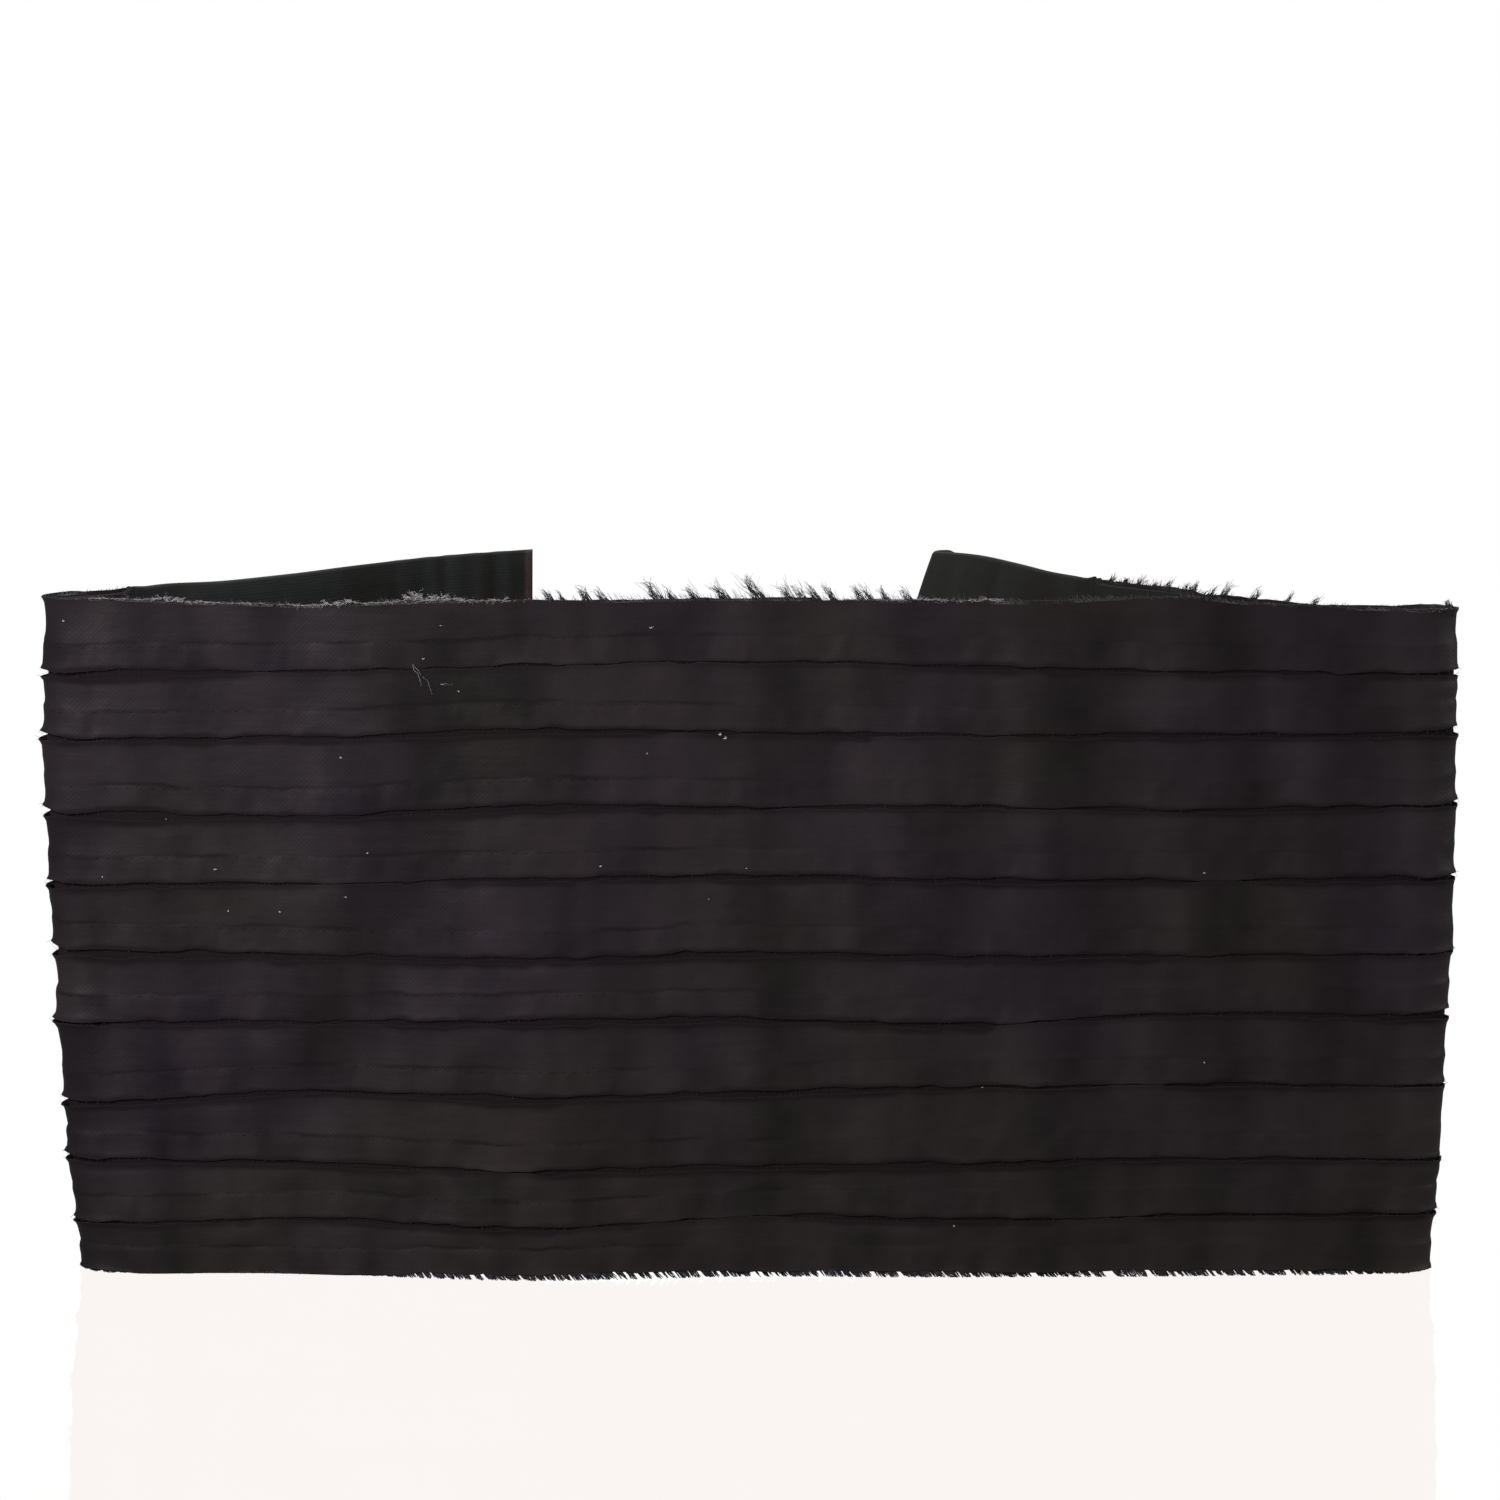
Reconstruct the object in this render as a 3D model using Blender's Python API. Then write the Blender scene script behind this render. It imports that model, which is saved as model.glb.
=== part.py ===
"""A black cummerbund: ten raw-edged strips on a base cloth, with two plain back panels.

It stands on its lower edge, bent round to the back and open there. Metres, +Z up, the front faces -Y.
"""

import math
import random

import bmesh
import bpy
import numpy as np

MM = 0.001

# Driving sizes
HEIGHT = 176.5 * MM
HALF_WIDTH = 180.3 * MM
BASE_THICKNESS = 1.6 * MM
STRIP_THICKNESS = 1.0 * MM
PANEL_THICKNESS = 2.0 * MM
GAP = 0.3 * MM
CREVICE = 1.0 * MM

# The band seen from above, as the middle line of its base cloth: name, x, y in mm
PLAN = (
    ("left end", -59.0, 98.5),
    ("left panel, outer third", -81.0, 87.0),
    ("left panel, middle", -101.0, 71.5),
    ("left panel, hollow", -121.0, 51.5),
    ("left panel, bulge", -140.0, 38.0),
    ("left panel, near the seam", -151.0, 33.5),
    ("left seam", -160.0, 25.5),
    ("left fold, back", -169.2, 17.6),
    ("left fold, turning", -176.0, 13.2),
    ("left fold, tip", -178.4, 9.2),
    ("left fold, front", -175.2, 5.8),
    ("front, left corner", -166.0, 4.5),
    ("front, left", -140.0, 4.1),
    ("front, left quarter", -110.0, 2.3),
    ("front, bow begins", -88.0, -0.7),
    ("front, bow", -60.0, -3.4),
    ("front, bow ends", -35.0, -2.0),
    ("front, middle", -8.0, 0.6),
    ("front, right of the middle", 40.0, 0.3),
    ("front, right quarter", 90.0, 0.6),
    ("front, right", 130.0, 1.9),
    ("front, right corner", 165.0, 3.4),
    ("right fold, front", 174.6, 4.6),
    ("right fold, tip", 178.2, 7.9),
    ("right fold, back", 174.8, 11.4),
    ("right back, corner", 165.0, 12.6),
    ("right back, flat", 135.0, 13.6),
    ("right back, bend", 116.0, 16.2),
    ("right back, turning", 103.0, 23.8),
    ("right seam", 90.0, 40.0),
    ("right panel, quarter", 79.6, 56.5),
    ("right panel, middle", 69.5, 73.0),
    ("right panel, near the end", 60.0, 88.6),
    ("right end, fold begins", 54.6, 95.0),
    ("right end, fold", 51.0, 98.6),
    ("right end, fold tip", 51.6, 102.8),
    ("right end, fold ends", 56.6, 103.4),
    ("right end, folded back", 65.4, 94.6),
    ("right end, returning", 77.0, 76.5),
    ("right end, last edge", 86.0, 62.0),
)
LEFT_SEAM = "left seam"
RIGHT_SEAM = "right seam"
FRONT_MIDDLE_BELOW_Y = 4.0

# Half widths at each height: height, left, right in mm. The band narrows towards the floor.
TAPER = (
    (0.0, 173.2, 176.6),
    (30.0, 176.2, 178.8),
    (90.0, 179.2, 181.1),
    (135.0, 180.9, 181.1),
    (176.5, 179.8, 180.5),
)

# The right end leans to the left below its top: total shift, and the drop over which most of it happens
END_LEAN = 18.0 * MM
END_LEAN_DROP = 46.0 * MM

# Soft upright flutes near the left end: start and end along the cloth from that end, pitch, depth
FLUTES = {"start": 4.0 * MM, "end": 46.0 * MM, "pitch": 7.8 * MM, "depth": 0.45 * MM}

# Distance of each height column from the middle of the front, along the cloth, in mm
ALONG = (-200, -165, -115, -55, 0, 55, 115, 165, 285)

# The upper edge: distance along the cloth, height, in mm. It sinks round the right fold.
TOP_EDGE = (
    (-200, 176.4), (-165, 176.6), (-115, 176.5), (-55, 176.9), (0, 176.9), (55, 176.6), (115, 175.9),
    (160, 174.9), (185, 173.7), (210, 173.1), (235, 175.0), (255, 176.2), (285, 176.4), (340, 176.3), (356, 175.5),
)

# Beyond its fold the right end's upper edge falls away: mm for each mm along the cloth
END_TOP_FALL = 0.42

# Crevices from the top down: height at each of ALONG, then how far the strip edges stand out at the left fold
CREVICES = (
    ((157.0, 157.3, 158.8, 160.8, 161.4, 160.2, 158.5, 157.7, 158.6), 1.3),
    ((140.2, 140.6, 141.4, 144.0, 142.9, 142.2, 142.2, 142.2, 141.2), 1.4),
    ((121.6, 121.0, 120.7, 124.3, 123.5, 123.9, 122.7, 123.4, 124.6), 1.2),
    ((102.1, 102.7, 103.4, 105.6, 105.8, 104.8, 104.5, 104.5, 103.2), 1.4),
    ((85.3, 84.9, 84.4, 84.6, 85.5, 84.6, 84.8, 84.7, 86.0), 1.2),
    ((66.2, 66.6, 67.1, 68.4, 68.2, 67.1, 69.6, 68.3, 67.4), 2.0),
    ((44.6, 45.6, 48.5, 48.1, 49.0, 50.4, 51.0, 50.1, 48.6), 1.3),
    ((30.8, 30.2, 29.8, 29.0, 29.5, 30.1, 31.4, 30.6, 29.4), 1.5),
    ((13.4, 13.8, 14.9, 13.9, 16.3, 15.4, 16.4, 16.1, 14.8), 1.2),
)

# A strip's outer face from its upper edge down: height above its lower edge as a share of the strip,
# the most that this may be in mm, and how proud the face is there as a share of its edges
STRIP_FACE = (
    ("upper edge", 1.0, 99.0, 1.0),
    ("upper shoulder", 0.84, 99.0, 0.5),
    ("hollow", 0.58, 99.0, 0.0),
    ("stitched ridge", 0.45, 7.0, 0.45),
    ("lower shoulder", 0.22, 3.6, 0.3),
    ("lower edge", 0.0, 99.0, 1.0),
)
PROUD_ON_FRONT = 0.45 * MM
PROUD_AT_RIGHT_FOLD = 0.9 * MM
FOLD_REACH = 11.0 * MM
BACK_ROWS = (0.35, 0.6)

# Frayed edges. The upper one: distance along the cloth and length of its locks, in mm
FRAY_TOP = (
    (-200, 0.9), (-165, 0.8), (-140, 1.9), (-90, 2.6), (-55, 3.8), (0, 4.3), (45, 3.6), (75, 2.0),
    (120, 1.0), (200, 0.5), (216, 2.2), (240, 3.6), (285, 4.2),
)
TOP_LOCKS = 92
BOTTOM_LOCKS = 84
FRAY_STRIP_HEIGHT = 0.9 * MM
FRAY_LEAN = 0.8
LOCK_SHARE = 0.62
LOCK_JITTER = 0.12
LOCK_WIDTHS = (0.7, 1.0)
TOP_LENGTHS = (0.55, 1.2)
TOP_LEANS = (0.5, 1.2)
TOP_SPREAD = (-0.3 * MM, 0.5 * MM)
HEM_LEANS = (0.6, 1.6)
HEM_SPREAD = (0.8 * MM, 2.6 * MM)
HEM_RISE = (0.0, 1.0 * MM)
HEM_STRIP_FOOT = 2.7 * MM
HEM_STRIP_HEIGHT = 0.8 * MM
LOCK_CLEARANCE = 0.5 * MM
FOLD_EASE = 0.6 * MM

# How closely the walls are divided: longest step, largest turn in radians between two sections,
# sections for each flute, and the heights in mm of the right panel's rows
LONGEST_STEP = 22.0 * MM
LARGEST_TURN = 0.45
FLUTE_STEPS = 4
LEAN_ROWS = (0, 30, 60, 90, 120, 140, 155, 167)
TANGENT_REACH = 0.2 * MM
SHARP_ABOVE = math.radians(40)

# Colour and roughness of each cloth
BASE_COTTON = ((0.018, 0.015, 0.016, 1.0), 0.7)
STRIP_SATIN = ((0.018, 0.015, 0.016, 1.0), 0.6)
PANEL_CLOTH = ((0.016, 0.016, 0.017, 1.0), 0.65)
LOOSE_THREAD = ((0.05, 0.05, 0.055, 1.0), 0.8)


def smooth_through(knots, values, wanted):
    """A cubic curve through the values at the knots, read at the wanted places."""
    knots = np.asarray(knots, float)
    values = np.asarray(values, float).reshape(len(knots), -1)
    slopes = np.gradient(values, knots, axis=0)
    wanted = np.clip(np.atleast_1d(wanted), knots[0], knots[-1])
    cell = np.clip(np.searchsorted(knots, wanted, side="right") - 1, 0, len(knots) - 2)
    span = (knots[cell + 1] - knots[cell])[:, None]
    t = (wanted - knots[cell])[:, None] / span
    start = (1 + 2 * t) * (1 - t) ** 2 * values[cell] + t * (1 - t) ** 2 * span * slopes[cell]
    end = t * t * (3 - 2 * t) * values[cell + 1] + t * t * (t - 1) * span * slopes[cell + 1]
    return start + end


def plan_line():
    """The plan as a dense line: distance along it from the middle of the front, x and y, and the seams' places."""
    points = np.array([row[1:] for row in PLAN]) * MM
    chords = np.concatenate([[0.0], np.cumsum(np.hypot(*np.diff(points, axis=0).T))])
    dense = np.linspace(0.0, chords[-1], 4000)
    line = smooth_through(chords, points, dense)
    along = np.concatenate([[0.0], np.cumsum(np.hypot(*np.diff(line, axis=0).T))])
    front = line[:, 1] < FRONT_MIDDLE_BELOW_Y * MM
    middle = along[front][np.argmin(np.abs(line[front, 0]))]
    names = [row[0] for row in PLAN]
    seams = [np.interp(chords[names.index(name)], dense, along) - middle for name in (LEFT_SEAM, RIGHT_SEAM)]
    return along - middle, line, seams


LINE_ALONG, LINE, (SEAM_LEFT, SEAM_RIGHT) = plan_line()
CLOTH_START, CLOTH_END = LINE_ALONG[0], LINE_ALONG[-1]
LEFT_FOLD = LINE_ALONG[np.argmin(LINE[:, 0])]
RIGHT_FOLD = LINE_ALONG[np.argmax(LINE[:, 0])]
END_FOLD = LINE_ALONG[np.argmax(LINE[:, 1])]
SEAM_RIGHT_Y = np.interp(SEAM_RIGHT, LINE_ALONG, LINE[:, 1])


def shaped(along, height):
    """The middle of the base cloth at a place along it and a height, narrowed and leaned as the band stands."""
    x = np.interp(along, LINE_ALONG, LINE[:, 0])
    y = np.interp(along, LINE_ALONG, LINE[:, 1])
    rows = np.array(TAPER) * MM
    left = np.interp(height, rows[:, 0], rows[:, 1]) / HALF_WIDTH
    right = np.interp(height, rows[:, 0], rows[:, 2]) / HALF_WIDTH
    x *= left if x < 0 else right
    if along > SEAM_RIGHT:
        share = np.clip((y - SEAM_RIGHT_Y) / (LINE[:, 1].max() - SEAM_RIGHT_Y), 0.0, 1.0)
        weight = share * share * (3 - 2 * share)
        x -= weight * END_LEAN * (1 - math.exp((height - HEIGHT) / END_LEAN_DROP))
    return np.array([x, y])


def cloth_point(along, height, out):
    """A point at a distance outwards from the middle of the base cloth."""
    tangent = shaped(along + TANGENT_REACH, height) - shaped(along - TANGENT_REACH, height)
    tangent /= np.hypot(*tangent)
    x, y = shaped(along, height) + out * np.array([tangent[1], -tangent[0]])
    return (x, y, height)


def sections_between(start, end):
    """Places along the cloth, closer together where it turns sharply."""
    inside = (LINE_ALONG > start) & (LINE_ALONG < end)
    along = LINE_ALONG[inside]
    heading = np.unwrap(np.arctan2(*np.gradient(LINE[inside], axis=0).T))
    effort = np.abs(np.gradient(heading)) / LARGEST_TURN + np.gradient(along) / LONGEST_STEP
    total = np.cumsum(effort)
    count = math.ceil(total[-1])
    places = np.interp(np.linspace(total[0], total[-1], count + 1), total, along)
    places[0], places[-1] = start, end
    return places


def crevice_height(number, along):
    """The height of a crevice between two strips, which wanders along the cloth."""
    heights = CREVICES[number][0]
    return float(smooth_through(np.array(ALONG) * MM, np.array(heights) * MM, along)[0, 0])


def top_height(along):
    """The height of the band's upper edge."""
    rows = np.array(TOP_EDGE) * MM
    height = float(smooth_through(rows[:, 0], rows[:, 1], along)[0, 0])
    return height - END_TOP_FALL * max(along - END_FOLD, 0.0)


def cloth_top(along):
    """The upper edge of the cloth itself, below its frayed rim."""
    return top_height(along) - FRAY_STRIP_HEIGHT - GAP


def near(along, place):
    """1 at a fold, falling off to 0 on both sides of it."""
    return math.exp(-(((along - place) / FOLD_REACH) ** 2))


def finish_object(name, shape, cloth):
    """Turns the shape into a named object in the scene, with a material of its own."""
    bmesh.ops.recalc_face_normals(shape, faces=shape.faces)
    mesh = bpy.data.meshes.new(name)
    shape.to_mesh(mesh)
    shape.free()
    mesh.shade_smooth()
    mesh.set_sharp_from_angle(angle=SHARP_ABOVE)
    colour, roughness = cloth
    material = bpy.data.materials.new(name + " cloth")
    material.use_nodes = True
    shader = material.node_tree.nodes["Principled BSDF"]
    shader.inputs["Base Color"].default_value = colour
    shader.inputs["Roughness"].default_value = roughness
    shader.inputs["Metallic"].default_value = 0.0
    mesh.materials.append(material)
    made = bpy.data.objects.new(name, mesh)
    bpy.context.scene.collection.objects.link(made)
    return made


def wall(name, places, section, cloth, mirrored=True):
    """A closed wall along the cloth. section(along) gives its rim as (height, out) pairs, outer face first.

    A mirrored section has the same rows on both faces, so its ends are closed row by row.
    """
    shape = bmesh.new()
    rings = []
    for along in places:
        rings.append([shape.verts.new(cloth_point(along, height, out)) for height, out in section(along)])
    for ring, following in zip(rings, rings[1:]):
        for k in range(len(ring)):
            n = (k + 1) % len(ring)
            shape.faces.new((ring[k], ring[n], following[n], following[k]))
    for ring in (rings[0], rings[-1]):
        if mirrored:
            close_by_rows(shape, ring)
        else:
            shape.faces.new(ring)
    return finish_object(name, shape, cloth)


def close_by_rows(shape, ring):
    """Closes an end with a face between each two rows of the outer and the inner points."""
    count = len(ring)
    for k in range(count // 2 - 1):
        shape.faces.new((ring[k], ring[k + 1], ring[count - 2 - k], ring[count - 1 - k]))


def base_cloth():
    """The cloth that the strips are sewn on, from seam to seam. Its lower edge is flat on the floor."""
    half = BASE_THICKNESS / 2

    def section(along):
        rows = [0.0] + [row[0] * MM for row in TAPER[1:-1]] + [cloth_top(along)]
        return [(z, half) for z in reversed(rows)] + [(z, -half) for z in rows]

    places = sections_between(SEAM_LEFT, SEAM_RIGHT)
    return wall("foundation", places, section, BASE_COTTON)


def strip_edges(number, along):
    """Upper and lower height of one strip, counted from 0 at the top."""
    upper = cloth_top(along)
    if number > 0:
        upper = crevice_height(number - 1, along) - CREVICE / 2
    lower = HEM_STRIP_FOOT + HEM_STRIP_HEIGHT + GAP
    if number < len(CREVICES):
        lower = crevice_height(number, along) + CREVICE / 2
    return upper, lower


def strip_proud(ear, along):
    """How far the edges of a strip stand out from its middle."""
    at_left = (ear * MM - PROUD_ON_FRONT) * near(along, LEFT_FOLD)
    at_right = (PROUD_AT_RIGHT_FOLD - PROUD_ON_FRONT) * near(along, RIGHT_FOLD)
    return PROUD_ON_FRONT + at_left + at_right


def strip(number):
    """A raw-edged strip, hollow between its proud edges, with a low stitched ridge above its lower edge."""
    ear_above = CREVICES[max(number - 1, 0)][1]
    ear_below = CREVICES[min(number, len(CREVICES) - 1)][1]
    inner = BASE_THICKNESS / 2 + GAP

    def section(along):
        upper, lower = strip_edges(number, along)
        face = []
        for _, share, most, proud in STRIP_FACE:
            height = lower + min(share * (upper - lower), most * MM)
            ear = ear_above if height > (upper + lower) / 2 else ear_below
            face.append((height, inner + STRIP_THICKNESS + proud * strip_proud(ear, along)))
        back = [
            (lower, inner + strip_proud(ear_below, along)),
            (lower + BACK_ROWS[0] * (upper - lower), inner),
            (lower + BACK_ROWS[1] * (upper - lower), inner),
            (upper, inner + strip_proud(ear_above, along)),
        ]
        return face + back

    places = sections_between(SEAM_LEFT, SEAM_RIGHT)
    return wall(f"pleat_{number + 1:02d}", places, section, STRIP_SATIN, mirrored=False)


def fluted(along):
    """Outward shift of the soft flutes near the left end."""
    place = along - CLOTH_START
    if not FLUTES["start"] < place < FLUTES["end"]:
        return 0.0
    share = (place - FLUTES["start"]) / (FLUTES["end"] - FLUTES["start"])
    return FLUTES["depth"] * math.sin(math.pi * share) ** 0.5 * math.sin(2 * math.pi * place / FLUTES["pitch"])


def left_back_panel():
    """The plain panel at the left back, with a square end."""
    half = PANEL_THICKNESS / 2

    def section(along):
        rows = [row[0] * MM for row in TAPER[:-1]] + [top_height(along)]
        shift = fluted(along)
        return [(z, half + shift) for z in reversed(rows)] + [(z, shift - half) for z in rows]

    flute_end = CLOTH_START + FLUTES["end"]
    steps = round(FLUTES["end"] / FLUTES["pitch"] * FLUTE_STEPS)
    near_end = np.linspace(CLOTH_START, flute_end, steps + 1)
    places = np.concatenate([near_end, sections_between(flute_end, SEAM_LEFT - GAP)[1:]])
    return wall("back_panel_left", places, section, PANEL_CLOTH)


def right_back_panel():
    """The plain panel at the right back. Its end is turned back on itself behind it."""
    half = PANEL_THICKNESS / 2

    def section(along):
        rows = [row * MM * top_height(along) / HEIGHT for row in LEAN_ROWS] + [top_height(along)]
        return [(z, half) for z in reversed(rows)] + [(z, -half) for z in rows]

    places = sections_between(SEAM_RIGHT + GAP, CLOTH_END)
    return wall("back_panel_right", places, section, PANEL_CLOTH)


def fray(name, locks, strip_rows, lock_tip, seed):
    """A narrow strip along a raw edge, with a thin leaning lock on every other stretch of it.

    strip_rows(along) gives the root height and the far height, lock_tip(along, chance) the tip as
    (shift along the cloth, height, shift outwards).
    """
    chance = random.Random(seed)
    step = (SEAM_RIGHT - SEAM_LEFT) / locks
    places = [SEAM_LEFT]
    for k in range(locks):
        start = SEAM_LEFT + step * (k + 0.5 - LOCK_SHARE / 2 + chance.uniform(-LOCK_JITTER, LOCK_JITTER))
        places += [start, start + step * LOCK_SHARE * chance.uniform(*LOCK_WIDTHS)]
    places.append(SEAM_RIGHT)
    shape = bmesh.new()
    rings = []
    for along in places:
        root, far = strip_rows(along)
        inner = BASE_THICKNESS / 2 + GAP + FOLD_EASE * max(near(along, LEFT_FOLD), near(along, RIGHT_FOLD))
        outer = inner + STRIP_THICKNESS
        rim = ((root, outer), (root, inner), (far, inner), (far, outer))
        rings.append([shape.verts.new(cloth_point(along, height, out)) for height, out in rim])
    for k, (ring, following) in enumerate(zip(rings, rings[1:])):
        for side in range(1, 4):
            n = (side + 1) % 4
            shape.faces.new((ring[side], ring[n], following[n], following[side]))
        rooted = (ring[0], ring[1], following[1], following[0])
        if k % 2 == 0:
            shape.faces.new(rooted)
            continue
        centre = (places[k] + places[k + 1]) / 2
        shift, height, out = lock_tip(centre, chance)
        tip_place = min(max(centre + shift, SEAM_LEFT), SEAM_RIGHT)
        middle = BASE_THICKNESS / 2 + GAP + STRIP_THICKNESS / 2
        tip = shape.verts.new(cloth_point(tip_place, height, middle + out))
        for a, b in zip(rooted, rooted[1:] + rooted[:1]):
            shape.faces.new((a, b, tip))
    shape.faces.new(rings[0])
    shape.faces.new(rings[-1])
    return finish_object(name, shape, LOOSE_THREAD)


def frayed_top():
    """The frayed upper edge. Its locks lean towards the left."""

    def rows(along):
        top = top_height(along)
        return top, top - FRAY_STRIP_HEIGHT

    def tip(along, chance):
        length = np.interp(along, *np.array(FRAY_TOP).T * MM) * chance.uniform(*TOP_LENGTHS)
        lean = -FRAY_LEAN * length * chance.uniform(*TOP_LEANS)
        return lean, top_height(along) + length, chance.uniform(*TOP_SPREAD)

    return fray("fringe_top", TOP_LOCKS, rows, tip, seed=3)


def frayed_hem():
    """The frayed lower edge, outside the base cloth. Its locks lean towards the right and end above the floor."""

    def rows(along):
        return HEM_STRIP_FOOT, HEM_STRIP_FOOT + HEM_STRIP_HEIGHT

    def tip(along, chance):
        height = LOCK_CLEARANCE + chance.uniform(*HEM_RISE)
        lean = FRAY_LEAN * (HEM_STRIP_FOOT - height) * chance.uniform(*HEM_LEANS)
        return lean, height, chance.uniform(*HEM_SPREAD)

    return fray("fringe_bottom", BOTTOM_LOCKS, rows, tip, seed=8)


def centre_on_floor(objects):
    """Moves the shapes so that the middle of their box is above the origin."""
    points = [vertex.co for made in objects for vertex in made.data.vertices]
    middle_x = (min(p.x for p in points) + max(p.x for p in points)) / 2
    middle_y = (min(p.y for p in points) + max(p.y for p in points)) / 2
    for made in objects:
        for vertex in made.data.vertices:
            vertex.co.x -= middle_x
            vertex.co.y -= middle_y


def main():
    for old in list(bpy.data.objects):
        bpy.data.objects.remove(old, do_unlink=True)
    pieces = [base_cloth(), left_back_panel(), right_back_panel(), frayed_top(), frayed_hem()]
    pieces += [strip(number) for number in range(len(CREVICES) + 1)]
    centre_on_floor(pieces)


main()
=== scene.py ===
# %% [markdown]
# A cummerbund is the wide band that is worn round the waist with a dinner jacket. This one is black.
# Its front is made of ten horizontal strips that were cut on the bias, left raw at their edges and sewn
# on a base cloth, and its two back panels are plain. It stands on its lower edge, open at the back.
#
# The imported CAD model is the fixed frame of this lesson: every cloth here lies on one of its solids, in
# metres, with +Z up and the front facing -Y. So the frame is loaded first, and its box is kept.

import bpy
import numpy as np
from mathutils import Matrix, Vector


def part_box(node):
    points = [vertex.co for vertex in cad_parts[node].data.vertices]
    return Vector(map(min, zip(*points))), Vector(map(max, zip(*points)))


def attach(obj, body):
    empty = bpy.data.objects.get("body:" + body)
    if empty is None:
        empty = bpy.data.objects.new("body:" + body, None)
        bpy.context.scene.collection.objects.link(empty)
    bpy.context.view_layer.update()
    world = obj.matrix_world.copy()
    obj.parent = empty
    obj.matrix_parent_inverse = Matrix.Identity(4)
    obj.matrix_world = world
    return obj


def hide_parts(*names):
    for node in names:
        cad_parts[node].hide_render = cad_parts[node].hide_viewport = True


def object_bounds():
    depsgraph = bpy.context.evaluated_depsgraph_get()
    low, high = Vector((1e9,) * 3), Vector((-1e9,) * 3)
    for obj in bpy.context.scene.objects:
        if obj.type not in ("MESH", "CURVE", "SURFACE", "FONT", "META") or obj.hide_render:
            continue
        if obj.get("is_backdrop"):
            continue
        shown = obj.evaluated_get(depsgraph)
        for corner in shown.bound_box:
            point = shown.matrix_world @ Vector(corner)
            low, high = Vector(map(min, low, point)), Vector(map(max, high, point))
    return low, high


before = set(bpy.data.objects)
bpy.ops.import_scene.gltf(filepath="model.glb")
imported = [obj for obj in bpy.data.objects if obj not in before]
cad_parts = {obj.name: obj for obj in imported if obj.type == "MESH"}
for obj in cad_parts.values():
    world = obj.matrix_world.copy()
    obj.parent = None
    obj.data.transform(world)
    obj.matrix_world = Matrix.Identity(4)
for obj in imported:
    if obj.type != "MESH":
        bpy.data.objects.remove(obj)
CAD_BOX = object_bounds()
MM = 0.001
print("solids in the frame:", len(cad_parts))

# %% [markdown]
# All the cloth follows one line seen from above, so the line is drawn once, through a short table of
# points, and everything else is placed by three numbers: how far along the cloth, how high, and how far
# outwards from the middle of the base cloth. A sewer thinks in the same way: along, up and out.

# %% The line that the cloth follows
LEFT_SEAM = (-160.0, 25.5)
RIGHT_SEAM = (90.0, 40.0)
PLAN = (
    (-59.0, 98.5), (-81.0, 87.0), (-101.0, 71.5), (-121.0, 51.5), (-140.0, 38.0), (-151.0, 33.5),
    LEFT_SEAM, (-169.2, 17.6), (-176.0, 13.2), (-178.4, 9.2), (-175.2, 5.8),
    (-166.0, 4.5), (-140.0, 4.1), (-110.0, 2.3), (-88.0, -0.7), (-60.0, -3.4), (-35.0, -2.0),
    (-8.0, 0.6), (40.0, 0.3), (90.0, 0.6), (130.0, 1.9), (165.0, 3.4),
    (174.6, 4.6), (178.2, 7.9), (174.8, 11.4), (165.0, 12.6), (135.0, 13.6), (116.0, 16.2), (103.0, 23.8),
    RIGHT_SEAM, (79.6, 56.5), (69.5, 73.0), (60.0, 88.6),
    (54.6, 95.0), (51.0, 98.6), (51.6, 102.8), (56.6, 103.4), (65.4, 94.6), (77.0, 76.5), (86.0, 62.0),
)
LINE_STEPS = 4000
FRONT_BELOW_Y = 4.0 * MM


def curve_through(knots, values, wanted):
    """A smooth curve through the values at the knots, read at the wanted places."""
    knots = np.asarray(knots, float)
    values = np.asarray(values, float).reshape(len(knots), -1)
    slopes = np.gradient(values, knots, axis=0)
    wanted = np.clip(np.atleast_1d(wanted), knots[0], knots[-1])
    cell = np.clip(np.searchsorted(knots, wanted, side="right") - 1, 0, len(knots) - 2)
    span = (knots[cell + 1] - knots[cell])[:, None]
    t = (wanted - knots[cell])[:, None] / span
    start = (1 + 2 * t) * (1 - t) ** 2 * values[cell] + t * (1 - t) ** 2 * span * slopes[cell]
    end = t * t * (3 - 2 * t) * values[cell + 1] + t * t * (t - 1) * span * slopes[cell + 1]
    return start + end


def plan_line():
    """The line as a dense row of points, and each point's distance from the middle of the front."""
    points = np.array(PLAN) * MM
    chords = np.concatenate([[0.0], np.cumsum(np.hypot(*np.diff(points, axis=0).T))])
    dense = np.linspace(0.0, chords[-1], LINE_STEPS)
    line = curve_through(chords, points, dense)
    along = np.concatenate([[0.0], np.cumsum(np.hypot(*np.diff(line, axis=0).T))])
    front = line[:, 1] < FRONT_BELOW_Y
    middle = along[front][np.argmin(np.abs(line[front, 0]))]
    seams = [np.interp(chords[PLAN.index(seam)], dense, along) - middle for seam in (LEFT_SEAM, RIGHT_SEAM)]
    return along - middle, line, seams


LINE_ALONG, LINE, (SEAM_LEFT, SEAM_RIGHT) = plan_line()
CLOTH_START, CLOTH_END = LINE_ALONG[0], LINE_ALONG[-1]
LEFT_FOLD = LINE_ALONG[np.argmin(LINE[:, 0])]
RIGHT_FOLD = LINE_ALONG[np.argmax(LINE[:, 0])]
END_FOLD = LINE_ALONG[np.argmax(LINE[:, 1])]
print("pleated cloth in mm:", round((SEAM_RIGHT - SEAM_LEFT) / MM, 1))

# %% [markdown]
# The band narrows towards the floor, and its right end leans. The function below puts that into one
# place, so a sheet of cloth can be laid out flat as a grid and then stood up in a single step. numpy
# works on the whole grid at once, which is much faster than a loop over its points.

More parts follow.
